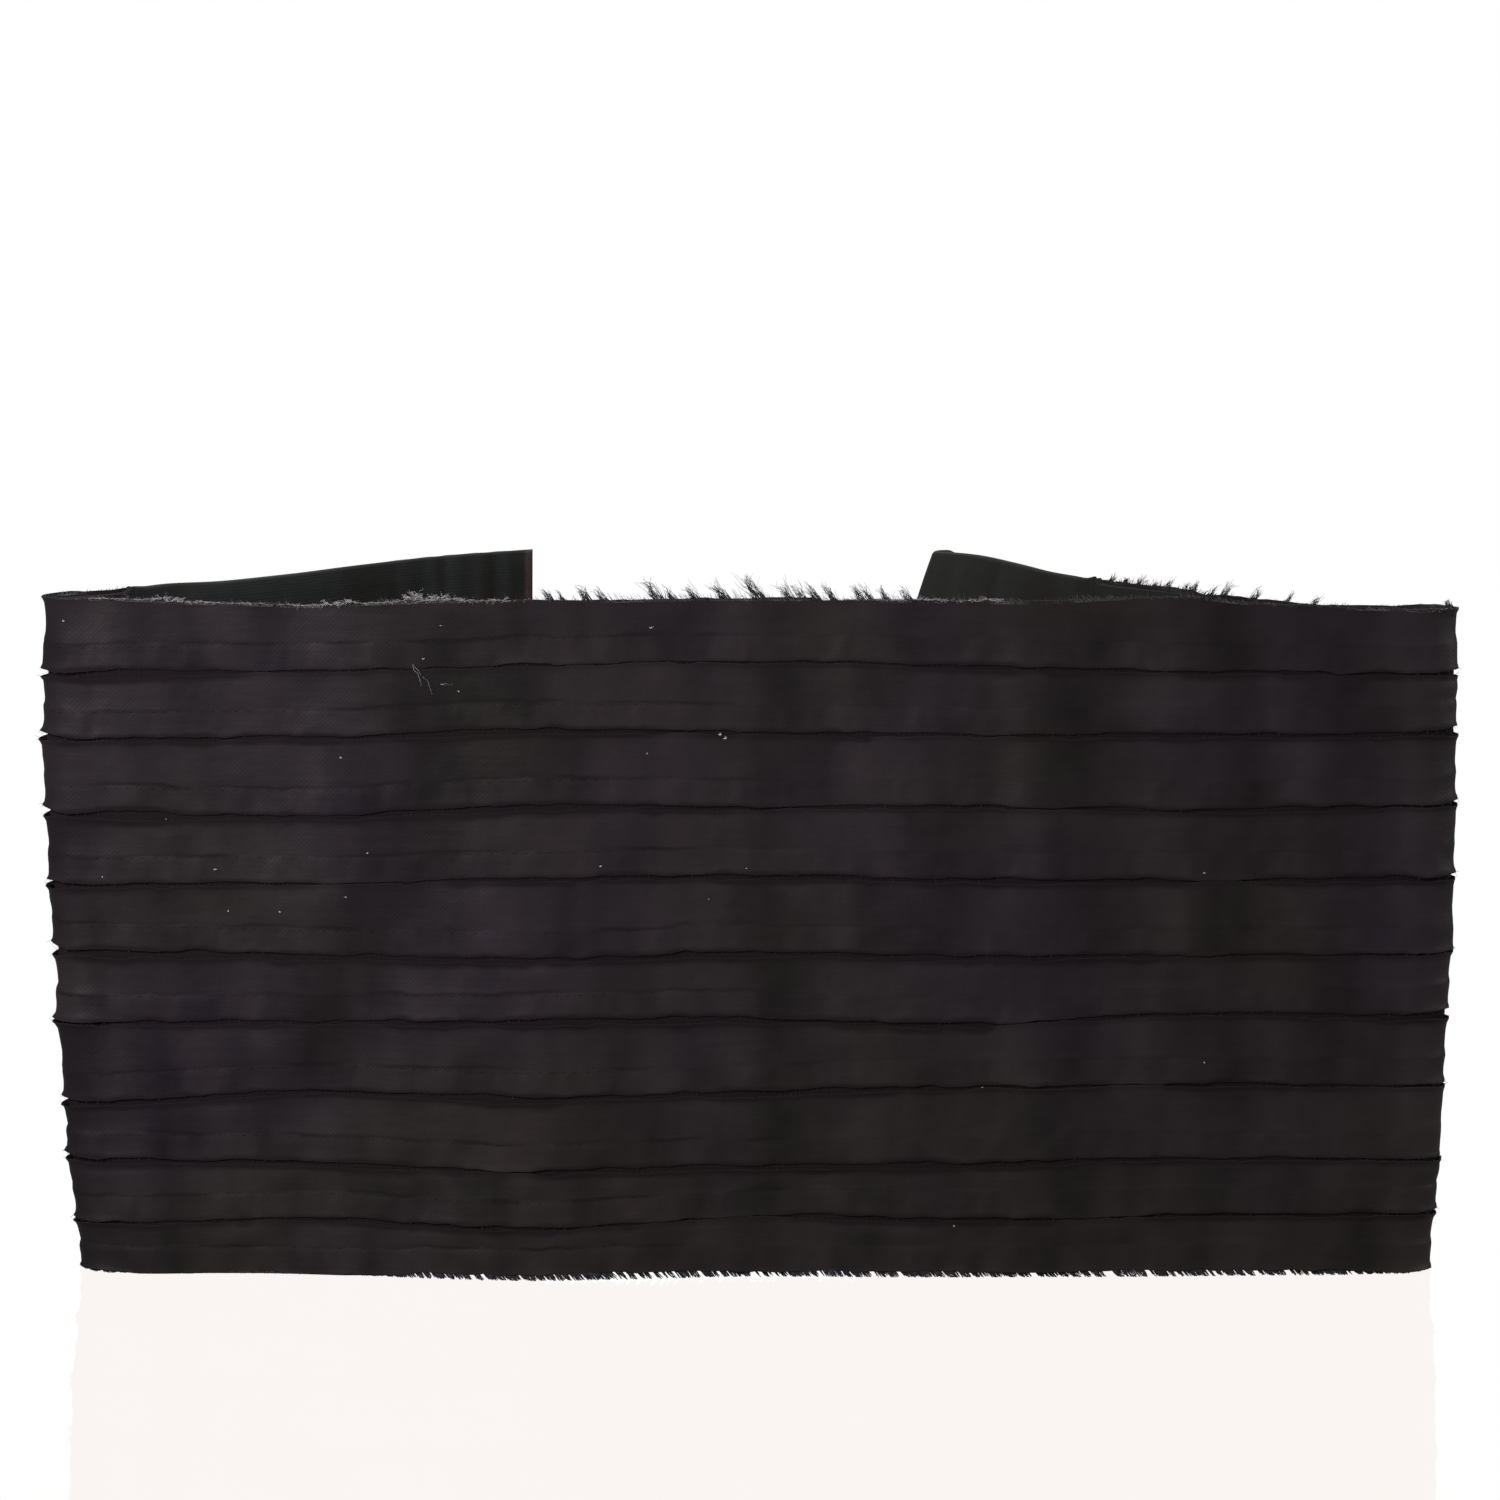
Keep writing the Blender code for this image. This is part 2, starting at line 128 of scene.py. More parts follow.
# %% Standing the flat cloth up
HEIGHT = 176.5 * MM
HALF_WIDTH = 180.3 * MM
TAPER = (  # height, left and right half widths in mm
    (0.0, 173.2, 176.6),
    (30.0, 176.2, 178.8),
    (90.0, 179.2, 181.1),
    (135.0, 180.9, 181.1),
    (176.5, 179.8, 180.5),
)
END_LEAN = 18.0 * MM
END_LEAN_DROP = 46.0 * MM
CENTRE = (0.18 * MM, -48.70 * MM)  # where the CAD model moved the line, to centre its box on the origin
REACH = 0.2 * MM


def eased(value):
    """0 below 0, 1 above 1, and a soft step between."""
    value = np.clip(value, 0, 1)
    return value * value * (3 - 2 * value)


def standing(along, height):
    """Where the middle of the base cloth stands: x and y for each place along it and height."""
    x = np.interp(along, LINE_ALONG, LINE[:, 0])
    y = np.interp(along, LINE_ALONG, LINE[:, 1])
    rows = np.array(TAPER) * MM
    left = np.interp(height, rows[:, 0], rows[:, 1]) / HALF_WIDTH
    right = np.interp(height, rows[:, 0], rows[:, 2]) / HALF_WIDTH
    seam_y = np.interp(SEAM_RIGHT, LINE_ALONG, LINE[:, 1])
    share = eased((y - seam_y) / (LINE[:, 1].max() - seam_y)) * (along > SEAM_RIGHT)
    lean = share * END_LEAN * (1 - np.exp((height - HEIGHT) / END_LEAN_DROP))
    return x * np.where(x < 0, left, right) - lean, y


def on_cloth(along, height, out):
    """Points in space for places on the cloth. The last axis holds x, y and z."""
    along, height, out = np.broadcast_arrays(along, height, out)
    ahead_x, ahead_y = standing(along + REACH, height)
    back_x, back_y = standing(along - REACH, height)
    dx, dy = ahead_x - back_x, ahead_y - back_y
    size = np.hypot(dx, dy)
    x, y = standing(along, height)
    return np.stack([x + out * dy / size + CENTRE[0], y - out * dx / size + CENTRE[1], height], axis=-1)


low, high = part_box("foundation")
BASE_HALF = 0.8 * MM
HALFWAY_UP = 90 * MM
edge = on_cloth(np.linspace(SEAM_LEFT, SEAM_RIGHT, 900), HALFWAY_UP, BASE_HALF)
print("front of the base cloth in mm, here and in the CAD:", edge[:, 1].min() / MM, low.y / MM)
print("back of the base cloth in mm, here and in the CAD:", edge[:, 1].max() / MM, high.y / MM)

# %% [markdown]
# Nothing on a worn cloth is even, so two kinds of unevenness are needed. A wandering value goes smoothly
# up and down at random, with a fixed seed so that each run gives the same cloth. A crease is listed: a
# soft ridge or trough with its own place, lean, width and height, read from the photograph on
# the front and made in the same manner on the sides that it hides. The creases move the base cloth and
# the strips together, as they do on the real band.

# %% Wandering values and creases
CREASES = (  # place at the top and at the floor, half width, rise, lowest and highest height, all in mm
    (-92, -132, 11.0, 0.75, 48, 190),
    (-64, -128, 13.0, -0.60, 34, 178),
    (-61, -61, 4.5, 0.22, 146, 190),
    (-168, -164, 9.0, 0.45, -20, 62),
    (-122, -130, 12.0, -0.35, -20, 44),
    (-101, -98, 4.0, 0.20, -20, 36),
    (-33, -30, 4.5, 0.22, -20, 40),
    (-40, -52, 9.0, 0.25, 60, 128),
    (-2, 2, 8.0, 0.50, -20, 190),
    (23, 20, 7.0, -0.22, 30, 190),
    (47, 42, 8.0, 0.20, 64, 150),
    (72, 76, 8.5, 0.55, -20, 170),
    (93, 92, 8.0, -0.40, 20, 178),
    (114, 112, 8.5, 0.62, 40, 190),
    (132, 130, 7.0, -0.28, 14, 176),
    (146, 143, 7.0, 0.32, -20, 182),
    (158, 160, 6.0, -0.25, 40, 190),
    (188, 192, 6.0, 0.30, 20, 176),
    (-188, -186, 6.0, 0.30, 10, 150),
    (205, 214, 9.0, -0.50, 0, 170),
    (226, 220, 8.0, 0.55, 22, 190),
    (246, 251, 10.0, -0.55, -20, 160),
    (263, 258, 7.0, 0.45, 40, 184),
)
CREASE_ENDS = 14.0 * MM
CREASE_DEPTH = 1.5


def wander(along, spacing, seed):
    """A smooth random curve between -1 and 1, with a new value every spacing."""
    place = (np.asarray(along, float) - CLOTH_START) / spacing + 1
    knots = np.random.default_rng(seed).uniform(-1, 1, int(place.max()) + 3)
    cell = np.floor(place).astype(int)
    t = eased(place - cell)
    return knots[cell] * (1 - t) + knots[cell + 1] * t


def creased(table, along, height):
    """How far the creases of a table push the cloth outwards."""
    out = np.zeros(np.broadcast(along, height).shape)
    for top, foot, half, rise, lowest, highest in table:
        centre = (foot + (top - foot) * height / HEIGHT) * MM
        across = np.exp(-(((along - centre) / (half * MM)) ** 2))
        ends = eased((height - lowest * MM) / CREASE_ENDS) * eased((highest * MM - height) / CREASE_ENDS)
        out += CREASE_DEPTH * rise * MM * across * ends
    return out


print("creases on the pleated cloth:", len(CREASES))

# %% [markdown]
# Between two strips runs a crevice, where the base cloth shows as a dark line. Each one wanders up and
# down and is wide in some places and nearly closed in others. Two short tables give that: the height of
# each crevice at nine places along the cloth, and its width where it changes.

# %% Crevices and the upper edge
ALONG = (-200, -165, -115, -55, 0, 55, 115, 165, 285)
CREVICES = (  # height at each of ALONG, and how far the strips' edges stand out at the left fold, in mm
    ((157.0, 157.3, 158.8, 160.8, 161.4, 160.2, 158.5, 157.7, 158.6), 1.3),
    ((140.2, 140.6, 141.4, 144.0, 142.9, 142.2, 142.2, 142.2, 141.2), 1.4),
    ((121.6, 121.0, 120.7, 124.3, 123.5, 123.9, 122.7, 123.4, 124.6), 1.2),
    ((102.1, 102.7, 103.4, 105.6, 105.8, 104.8, 104.5, 104.5, 103.2), 1.4),
    ((85.3, 84.9, 84.4, 84.6, 85.5, 84.6, 84.8, 84.7, 86.0), 1.2),
    ((66.2, 66.6, 67.1, 68.4, 68.2, 67.1, 69.6, 68.3, 67.4), 2.0),
    ((44.6, 45.6, 48.5, 48.1, 49.0, 50.4, 51.0, 50.1, 48.6), 1.3),
    ((30.8, 30.2, 29.8, 29.0, 29.5, 30.1, 31.4, 30.6, 29.4), 1.5),
    ((13.4, 13.8, 14.9, 13.9, 16.3, 15.4, 16.4, 16.1, 14.8), 1.2),
)
CREVICE_WIDTHS = (  # place along the cloth and width there, in mm, for each crevice
    ((-172, 2.4), (-163, 3.3), (-150, 2.0), (-133, 1.3), (-126, 0.4), (-100, 0.9), (-80, 0.3), (-40, 0.5),
     (-14, 0.4), (10, 0.7), (38, 0.8), (60, 1.2), (100, 1.0), (139, 0.9), (146, 0.15), (153, 0.3),
     (160, 1.2)),
    ((-176, 1.2), (-125, 1.3), (-100, 1.1), (-78, 1.6), (-45, 1.6), (-22, 0.9), (5, 1.1), (30, 1.2),
     (34, 0.3), (45, 0.8), (60, 0.5), (84, 1.1), (110, 1.6), (147, 1.0), (165, 1.7)),
    ((-176, 2.6), (-158, 2.8), (-140, 1.6), (-112, 1.4), (-84, 1.5), (-60, 2.1), (-34, 1.9), (-20, 1.1),
     (12, 0.8), (60, 1.1), (79, 0.5), (90, 1.4), (140, 1.5), (170, 1.1)),
    ((-176, 1.5), (-145, 1.3), (-116, 0.9), (-108, 0.2), (-84, 0.25), (-76, 1.2), (-20, 1.4), (45, 1.2),
     (80, 1.5), (110, 1.2), (116, 0.2), (128, 0.3), (133, 1.5), (170, 1.3)),
    ((-176, 2.4), (-146, 2.6), (-130, 1.6), (-80, 1.5), (-44, 1.2), (-20, 1.7), (40, 1.4), (76, 1.6),
     (108, 1.4), (120, 0.8), (146, 0.9), (170, 0.7)),
    ((-176, 1.2), (-108, 1.2), (-100, 0.5), (-92, 1.5), (-50, 1.8), (-14, 2.3), (10, 1.3), (46, 1.7),
     (60, 2.0), (64, 0.3), (80, 0.4), (86, 1.1), (140, 1.2), (160, 1.6)),
    ((-174, 2.1), (-158, 1.5), (-90, 1.4), (-74, 2.4), (-58, 2.4), (-48, 1.4), (6, 1.9), (40, 1.2),
     (88, 1.0), (93, 0.3), (106, 0.3), (110, 1.4), (146, 1.1), (160, 0.6)),
    ((-174, 1.4), (-140, 1.2), (-98, 1.4), (-70, 0.8), (-58, 0.6), (-52, 1.6), (50, 1.7), (80, 1.4),
     (136, 1.0), (165, 0.7)),
    ((-172, 1.0), (-136, 0.9), (-132, 0.4), (-110, 1.3), (-80, 1.6), (-50, 1.2), (-32, 0.8), (-26, 0.2),
     (6, 0.2), (12, 1.4), (78, 1.3), (84, 0.3), (100, 0.5), (106, 1.0), (165, 1.1)),
)
TOP_EDGE = (  # place along the cloth and height, in mm
    (-200, 176.4), (-178, 176.9), (-167, 177.4), (-156, 177.1), (-146, 176.5), (-136, 176.25),
    (-126, 176.1), (-115, 175.8), (-105, 176.05), (-95, 176.95), (-85, 177.5), (-64, 177.9), (-49, 177.8),
    (0, 177.9), (38, 177.5), (64, 177.1), (75, 177.1), (82, 177.4), (90, 177.9), (100, 178.1),
    (108, 178.1), (116, 177.95), (124, 176.9), (134, 176.1), (145, 175.5), (152, 175.2), (160, 174.95),
    (176, 174.2), (190, 173.7), (205, 173.4), (218, 173.9), (230, 175.0), (240, 176.0), (250, 176.9),
    (262, 177.0), (272, 176.7), (285, 176.4), (340, 176.3), (356, 175.5),
)
END_TOP_FALL = 0.42
EDGE_DROP = 0.1 * MM  # the raw edge lies this far below the tips of its shortest threads
LEAST_WIDTH = 0.12 * MM
CLOSE_LEFT, CLOSE_RIGHT = 0.38, 0.25  # near a fold a crevice closes by this share of its width
PART_LEFT, PART_RIGHT = 0.75, 0.7  # and right at the fold it parts again by this share
FOLD_REACH = 11.0 * MM
GAPE_REACH = 4.0 * MM  # right at the folds the raw edges part, and stand up as two small tips
OPEN_SHARE = 0.75  # the table's widths take in the dark rims, so the gap itself is narrower
HEM = 0.3 * MM
HEM_LIFT = (  # place along the cloth, and how far its lower edge stands above the floor there, in mm
    (-332, 0.0), (-196, 0.4), (-176, 0.7), (-165, 0.1), (-110, 0.0), (-95, 0.4), (-88, 1.2), (-66, 1.5),
    (-30, 1.7), (0, 1.5), (60, 1.4), (84, 1.7), (120, 1.7), (150, 1.2), (172, 0.3), (205, 0.9),
    (260, 0.3), (412, 0.0),
)


def top_edge(along):
    """The height of the band's upper edge."""
    rows = np.array(TOP_EDGE) * MM
    height = curve_through(rows[:, 0], rows[:, 1], along)[:, 0]
    return height - END_TOP_FALL * np.maximum(along - END_FOLD, 0)


def lifted(along):
    """How far the pleated cloth's lower edge stands above the floor."""
    places, lifts = np.array(HEM_LIFT).T * MM
    return np.interp(along, places, lifts) * (1 + 0.25 * wander(along, 5 * MM, 30))


def ragged(along, seed):
    """The uneven line of a raw edge, with bites where threads have come away."""
    fine = 0.10 * wander(along, 1.7 * MM, seed) + 0.16 * wander(along, 4.5 * MM, seed + 1)
    bites = np.maximum(wander(along, 9 * MM, seed + 2) - 0.62, 0)
    return (fine - 1.3 * bites) * MM


def near(along, place, reach=FOLD_REACH):
    """1 at a place, falling off on both sides of it."""
    return np.exp(-(((along - place) / reach) ** 2))


def hem_edge(along):
    """The height of the cloth's lower edge without its bites."""
    return HEM + 0.9 * lifted(along)


def crevice_line(number, along):
    """The height of a crevice, as the table gives it."""
    return curve_through(np.array(ALONG) * MM, np.array(CREVICES[number][0]) * MM, along)[:, 0]


def crevice_middle(number, along):
    """The height of the middle of a crevice, which wanders about its line, and how wide it looks."""
    centre = crevice_line(number, along)
    places, widths = np.array(CREVICE_WIDTHS[number]).T * MM
    width = np.interp(along, places, widths) * (1 + 0.35 * wander(along, 6 * MM, 40 + number))
    return centre + 0.25 * MM * wander(along, 7 * MM, 60 + number), width


def crevice_edges(number, along):
    """The two raw edges of a crevice: the one above it and the one below it."""
    centre, width = crevice_middle(number, along)
    share = OPEN_SHARE - CLOSE_LEFT * near(along, LEFT_FOLD) - CLOSE_RIGHT * near(along, RIGHT_FOLD)
    share = share + PART_LEFT * near(along, LEFT_FOLD, GAPE_REACH)
    share = share + PART_RIGHT * near(along, RIGHT_FOLD, GAPE_REACH)
    half = share * width / 2
    above = centre + half - ragged(along, 100 + 10 * number)
    below = centre - half + ragged(along, 105 + 10 * number)
    return np.maximum(above, below + LEAST_WIDTH), below


def strip_edges(number, along):
    """Lower and upper edge of a strip, counted from 0 at the top."""
    upper = crevice_edges(number - 1, along)[1] if number else top_edge(along) - EDGE_DROP + ragged(along, 90)
    if number < len(CREVICES):
        return crevice_edges(number, along)[0], upper
    return hem_edge(along) - ragged(along, 95), upper


print("strips:", len(CREVICES) + 1)

# %% [markdown]
# A strip isn't flat. Its raw edges curl outwards, most of all where the band folds at the sides, and it is
# hollow between them. A row of stitches about 7 mm above its lower edge holds it to the base cloth and
# draws it in. The same table of shares that shaped the CAD strips is used here, with soft steps between,
# and the curl, the stitched groove and the small puckers under it are added on top.

# %% The outer face of a strip
BASE_OUT = 1.65 * MM
STRIP_OUT = 2.1 * MM
PROUD_ON_FRONT = 0.22
PROUD_AT_RIGHT_FOLD = 0.9
FACE = (  # share of the strip's height, most of it in mm, how proud it is there
    (0.0, 99.0, 1.0), (0.10, 1.5, 0.42), (0.22, 3.6, 0.26), (0.45, 7.0, 0.36), (0.58, 99.0, 0.05),
    (0.84, 99.0, 0.30), (0.92, 99.0, 0.42), (1.0, 99.0, 1.0),
)
MIDDLE = 0.55
CLOTH_THICKNESS = 0.3 * MM
STITCHES_AT = 7.0 * MM
GROOVE = 0.5 * MM
ROWS_FADE_FROM = -45 * MM  # from here to the right the rows of stitches show less and less
ROWS_FADE_OVER = 80 * MM
ROWS_FADE_BY = 0.85
SEAM_EASE = 4.0 * MM


def rows_show(along):
    """How plainly a row of stitches shows: wholly on the left of the front, hardly on the right."""
    return 1 - ROWS_FADE_BY * eased((along - ROWS_FADE_FROM) / ROWS_FADE_OVER)


def strip_face(number, along, above_edge, size):
    """How far out the face of a strip lies, above_edge over its lower edge, where the strip is size high."""
    ear_above = CREVICES[max(number - 1, 0)][1]
    ear_below = CREVICES[min(number, len(CREVICES) - 1)][1]
    ear = np.where(above_edge > MIDDLE * size, ear_above, ear_below)
    proud = PROUD_ON_FRONT + (ear - PROUD_ON_FRONT) * near(along, LEFT_FOLD)
    proud = proud + (PROUD_AT_RIGHT_FOLD - PROUD_ON_FRONT) * near(along, RIGHT_FOLD)
    knots = [np.minimum(share * size, most * MM) for share, most, _ in FACE]
    shape = FACE[0][2]
    for k in range(len(FACE) - 1):
        step = eased((above_edge - knots[k]) / (knots[k + 1] - knots[k]))
        shape = shape + (FACE[k + 1][2] - FACE[k][2]) * step
    seed = 200 + 20 * number
    curl_below = (-0.18 + 0.32 * wander(along, 13 * MM, seed)) * np.exp(-above_edge / (1.9 * MM))
    curl_above = (-0.05 + 0.35 * wander(along, 11 * MM, seed + 1)) * np.exp(-(size - above_edge) / (1.5 * MM))
    groove = (0.06 + 0.06 * wander(along, 18 * MM, seed + 2)) * rows_show(along)
    groove = groove * np.exp(-(((above_edge - STITCHES_AT) / GROOVE) ** 2))
    under = np.clip(above_edge / STITCHES_AT, 0, 1)
    puckers = 0.22 * wander(along, 5 * MM, seed + 3) + 0.15 * wander(along, 2.4 * MM, seed + 5)
    puckers = puckers * 4 * under * (1 - under)
    over = np.clip((above_edge - STITCHES_AT) / (size - STITCHES_AT), 0, 1)
    swell = 0.42 * wander(along, 13 * MM, seed + 4) * np.sin(np.pi * over)
    out = STRIP_OUT + (shape * proud + curl_below + curl_above - groove + puckers + swell) * MM
    seam = np.minimum(eased((along - SEAM_LEFT) / SEAM_EASE), eased((SEAM_RIGHT - along) / SEAM_EASE))
    return np.maximum(BASE_OUT + CLOTH_THICKNESS + 0.05 * MM, out) - (1 - seam) * 0.3 * MM


print("stitches above a strip's lower edge, in mm:", STITCHES_AT / MM)

# %% [markdown]
# Now the cloth can be laid as grids. A grid is a mesh whose points form rows and columns. It gets a UV
# map in real metres, along and up, so that weave and streaks follow the cloth round the folds. Four
# attributes say how worn each point is and where a highlight is painted on it, how light its nap and its
# painted sheen and shading look, how much painted shade it has and how far it has faded. The strips are
# single sheets, to which Solidify gives a thickness, inwards from the face.

# %% Laying cloth as grids
COLUMN = 0.9 * MM


def link(name, mesh):
    """Puts a mesh in the scene as an object and prints its size."""
    made = bpy.data.objects.new(name, mesh)
    bpy.context.scene.collection.objects.link(made)
    print(name, "triangles:", sum(len(face.vertices) - 2 for face in mesh.polygons))
    return made


def grid(name, along, height, out, closed=False, wear_and_painted_highlight=0.0, nap_and_painted_shading=0.5, painted_shade=0.0, faded=0.5):
    """A mesh of rows and columns on the cloth. A closed one joins its last row to its first."""
    points = on_cloth(along, height, out)
    rows, columns = points.shape[:2]
    index = np.arange(rows * columns).reshape(rows, columns)
    if closed:
        index = np.vstack([index, index[:1]])
    faces = np.stack([index[:-1, :-1], index[:-1, 1:], index[1:, 1:], index[1:, :-1]], axis=-1).reshape(-1, 4)
    faces = faces.tolist()
    if closed:
        faces += [index[:-1, 0][::-1].tolist(), index[:-1, -1].tolist()]
    mesh = bpy.data.meshes.new(name)
    mesh.from_pydata(points.reshape(-1, 3), [], faces)
    flat = np.stack(np.broadcast_arrays(along, height), axis=-1).reshape(-1, 2)
    corners = np.array([loop.vertex_index for loop in mesh.loops])
    mesh.uv_layers.new(name="cloth").data.foreach_set("uv", flat[corners].ravel())
    for fact, values in (("wear_and_painted_highlight", wear_and_painted_highlight), ("nap_and_painted_shading", nap_and_painted_shading), ("painted_shade", painted_shade), ("faded", faded)):
        values = np.broadcast_to(values, (rows, columns)).astype(np.float32)
        mesh.attributes.new(fact, "FLOAT", "POINT").data.foreach_set("value", values.ravel())
    mesh.shade_smooth()
    return link(name, mesh)


def columns_between(start, end, step):
    """Evenly spaced places along the cloth."""
    return np.linspace(start, end, round((end - start) / step) + 1)


# %% [markdown]
# The nap of the satin doesn't lie the same way everywhere. Where the cloth has been pressed or rubbed it
# looks a little lighter or darker, in small patches that wander and stop at each seam, because each strip
# was cut from another place of the bolt. The large patches are listed in a table: they are painted sheen,
# the light and dark bands that the satin's sheen makes on its soft folds, put into the colour. Beside the
# crevices the cloth is darkened by painted shade, where little light reaches it.

# %% Where the nap and the painted sheen look light or dark
# Painted sheen patches: place at the top and at the floor, half width, how much lighter, lowest and highest
# height, in mm
PAINTED_SHEEN_PATCHES = (
    (-68, -128, 15.0, -0.55, 52, 190), (-96, -150, 9.0, 0.20, 60, 190), (-170, -160, 13.0, 0.25, 60, 190),
    (-140, -152, 12.0, -0.35, -20, 60), (-45, -92, 10.0, 0.30, 52, 130), (-20, -30, 16.0, 0.18, 40, 160),
    (8, 4, 7.0, -0.30, -20, 190), (30, 24, 10.0, 0.16, 60, 160), (52, 50, 12.0, -0.15, 60, 190),
    (84, 80, 7.0, -0.30, -20, 170), (66, 66, 5.0, 0.16, 100, 190), (104, 104, 6.0, 0.30, 84, 176),
    (124, 124, 6.0, -0.30, 40, 190), (137, 137, 5.0, 0.13, 20, 170), (151, 151, 6.0, -0.12, 40, 190),
    (168, 168, 7.0, 0.38, 84, 190), (172, 172, 7.0, 0.26, -20, 90), (-60, -60, 4.0, -0.30, 150, 190),
)


def nap_with_painted_sheen(number, along, height):
    """How light a strip looks from its nap and its painted sheen patches: 0.5 on average, between 0 and 1."""
    own = 0.24 * wander(along, 11 * MM, 400 + number) + 0.10 * wander(along, 4.5 * MM, 420 + number)
    own = own * (1 - 0.25 * eased(along / (90 * MM)))
    return 0.5 + 0.55 * creased(PAINTED_SHEEN_PATCHES, along, height) / (CREASE_DEPTH * MM) + own


# %% Painted shade beside the crevices
PAINTED_SHADE_EASE = 1.6 * MM
PAINTED_SHADE_UNDER = 0.25 * MM  # the rim above a crevice hangs over it, so more of the lower rim shows dark
BROWN_FROM = -180 * MM  # the cloth gets browner from the left fold to a little right of the middle
BROWN_OVER = 200 * MM
LESS_BROWN_OVER = 150 * MM  # and less brown again from the middle to here
BROWN_BELOW = 75 * MM


def browned(along, height):
    """How far the black dye has faded from purple to brown: most at the floor, least at the upper left."""
    onwards = eased((along - BROWN_FROM) / BROWN_OVER)
    across_front = 0.36 + 0.28 * onwards - 0.09 * eased(along / LESS_BROWN_OVER)
    return across_front + (0.26 + 0.26 * onwards) * eased(1 - height / BROWN_BELOW)


def painted_crevice_shade(number, along, height):
    """How much painted shade lies beside a crevice: 1 at its rims and 0 away from it."""
    painted_shade = 0.0
    for crevice in (number - 1, number):
        if 0 <= crevice < len(CREVICES):
            centre, width = crevice_middle(crevice, along)
            edge = 0.6 * width + 0.25 * MM * wander(along, 2.6 * MM, 500 + crevice)
            away = np.abs(height - centre + PAINTED_SHADE_UNDER) - edge
            weak = 0.5 + 0.5 * eased(width / (1.2 * MM) - 0.2)
            painted_shade = painted_shade + weak * eased(1 - away / PAINTED_SHADE_EASE)
    at_fold = near(along, LEFT_FOLD, GAPE_REACH) + near(along, RIGHT_FOLD, GAPE_REACH)
    return np.clip(painted_shade * (1 - 0.7 * at_fold), 0, 1)


# %% The ten strips
NEAR_EDGE = np.array([0, 0.2, 0.5, 1.0, 1.8, 2.8, 4.0, 5.2, 6.2, 6.6, 7.0, 7.4, 7.8]) * MM
UPWARDS = np.array([0.16, 0.34, 0.52, 0.70, 0.84, 0.93, 0.975, 1.0])


def strip(number):
    """One raw-edged strip as a thin sheet on its CAD solid."""
    along = columns_between(SEAM_LEFT, SEAM_RIGHT, COLUMN)
    lower, upper = strip_edges(number, along)
    size = (upper - lower)[None, :]
    above = np.broadcast_to(NEAR_EDGE[:, None], (len(NEAR_EDGE), len(along)))
    above = np.concatenate([above, NEAR_EDGE[-1] + UPWARDS[:, None] * (size - NEAR_EDGE[-1])])
    height = lower + above
    out = strip_face(number, along, above, size) + creased(CREASES, along, height)
    wear_and_painted_highlight = 0.14 * (np.exp(-above / (0.4 * MM)) + np.exp(-(size - above) / (0.4 * MM)))
    nap_and_painted_shading = nap_with_painted_sheen(number, along, height) + 0.12 * wander(along, 5 * MM, 450 + number) * (above < STITCHES_AT)
    # painted shade in the stitched groove, where its row shows
    painted_groove_shade = np.exp(-(((above - STITCHES_AT) / (0.45 * MM)) ** 2)) * rows_show(along)
    nap_and_painted_shading = nap_and_painted_shading - 0.6 * painted_groove_shade * np.clip(0.35 + 1.1 * wander(along, 12 * MM, 490 + number), 0, 1)
    # painted shade at the left fold and a painted highlight at the right fold
    nap_and_painted_shading = nap_and_painted_shading - 0.3 * near(along, LEFT_FOLD) + 0.35 * near(along, RIGHT_FOLD)
    made = grid(f"strip_{number + 1:02d}", along[None, :], height, out, wear_and_painted_highlight=wear_and_painted_highlight, nap_and_painted_shading=nap_and_painted_shading,
                painted_shade=painted_crevice_shade(number, along, height), faded=browned(along, height))
    solid = made.modifiers.new("cloth thickness", "SOLIDIFY")
    solid.thickness = CLOTH_THICKNESS
    solid.offset = -1
    solid.use_even_offset = False
    return made


strips = [strip(number) for number in range(len(CREVICES) + 1)]

# %% [markdown]
# Under the strips lies the base cloth, a plain matt cotton from seam to seam. It shows as the bottom of
# each crevice, where its outer face is painted with shade, and from behind, through the open back, where
# the rows of stitches come through. It stops a little below the upper edge, apart from a small bump at
# each seam.

# %% The base cloth
BASE_ROWS = 64
SEAM_BUMP = 1.4 * MM
SEAM_BUMP_HALF = 1.2 * MM
BASE_BELOW_TOP = 1.1 * MM
BASE_LIFT = 1.25  # its lower edge stands this many times as high above the floor as HEM_LIFT says


def base_cloth():
    """The cloth that the strips are sewn on, as one closed skin. Both its seams stick up a little."""
    close = np.array([0.0, 0.5, 1.0, 1.6]) * MM
    along = columns_between(SEAM_LEFT + 2.6 * MM, SEAM_RIGHT - 2.6 * MM, 2 * COLUMN)
    along = np.concatenate([SEAM_LEFT + close, along, SEAM_RIGHT - close[::-1]])
    from_seam = np.minimum(along - SEAM_LEFT, SEAM_RIGHT - along)
    top = top_edge(along) - BASE_BELOW_TOP + SEAM_BUMP * np.exp(-((from_seam / SEAM_BUMP_HALF) ** 2))
    foot = BASE_LIFT * lifted(along)
    rise = np.concatenate([[0, 0.001], np.linspace(0, 1, BASE_ROWS)[1:-1], [0.999, 1]])[:, None]
    side = foot + rise * (top - foot)
    height = np.concatenate([side, side[::-1]])
    outer = np.repeat([1.0, 0.0], len(rise))[:, None]
    out = outer * BASE_OUT - (1 - outer) * BASE_HALF + creased(CREASES, along, height)
    # the outer face, seen only in the crevices, is painted with shade
    return grid("base_cloth", along[None, :], height, out, closed=True, painted_shade=outer)


base = base_cloth()

# %% [markdown]
# The back panels are cut double, turned right side out and pressed, so their edges are soft folds and
# not raw. A turned edge is round, so each panel is one closed skin: up the outer face, over the top in a
# half circle, down the inner face and back under. The left end has a square hem with soft upright
# flutes, and the right end is turned back on itself.

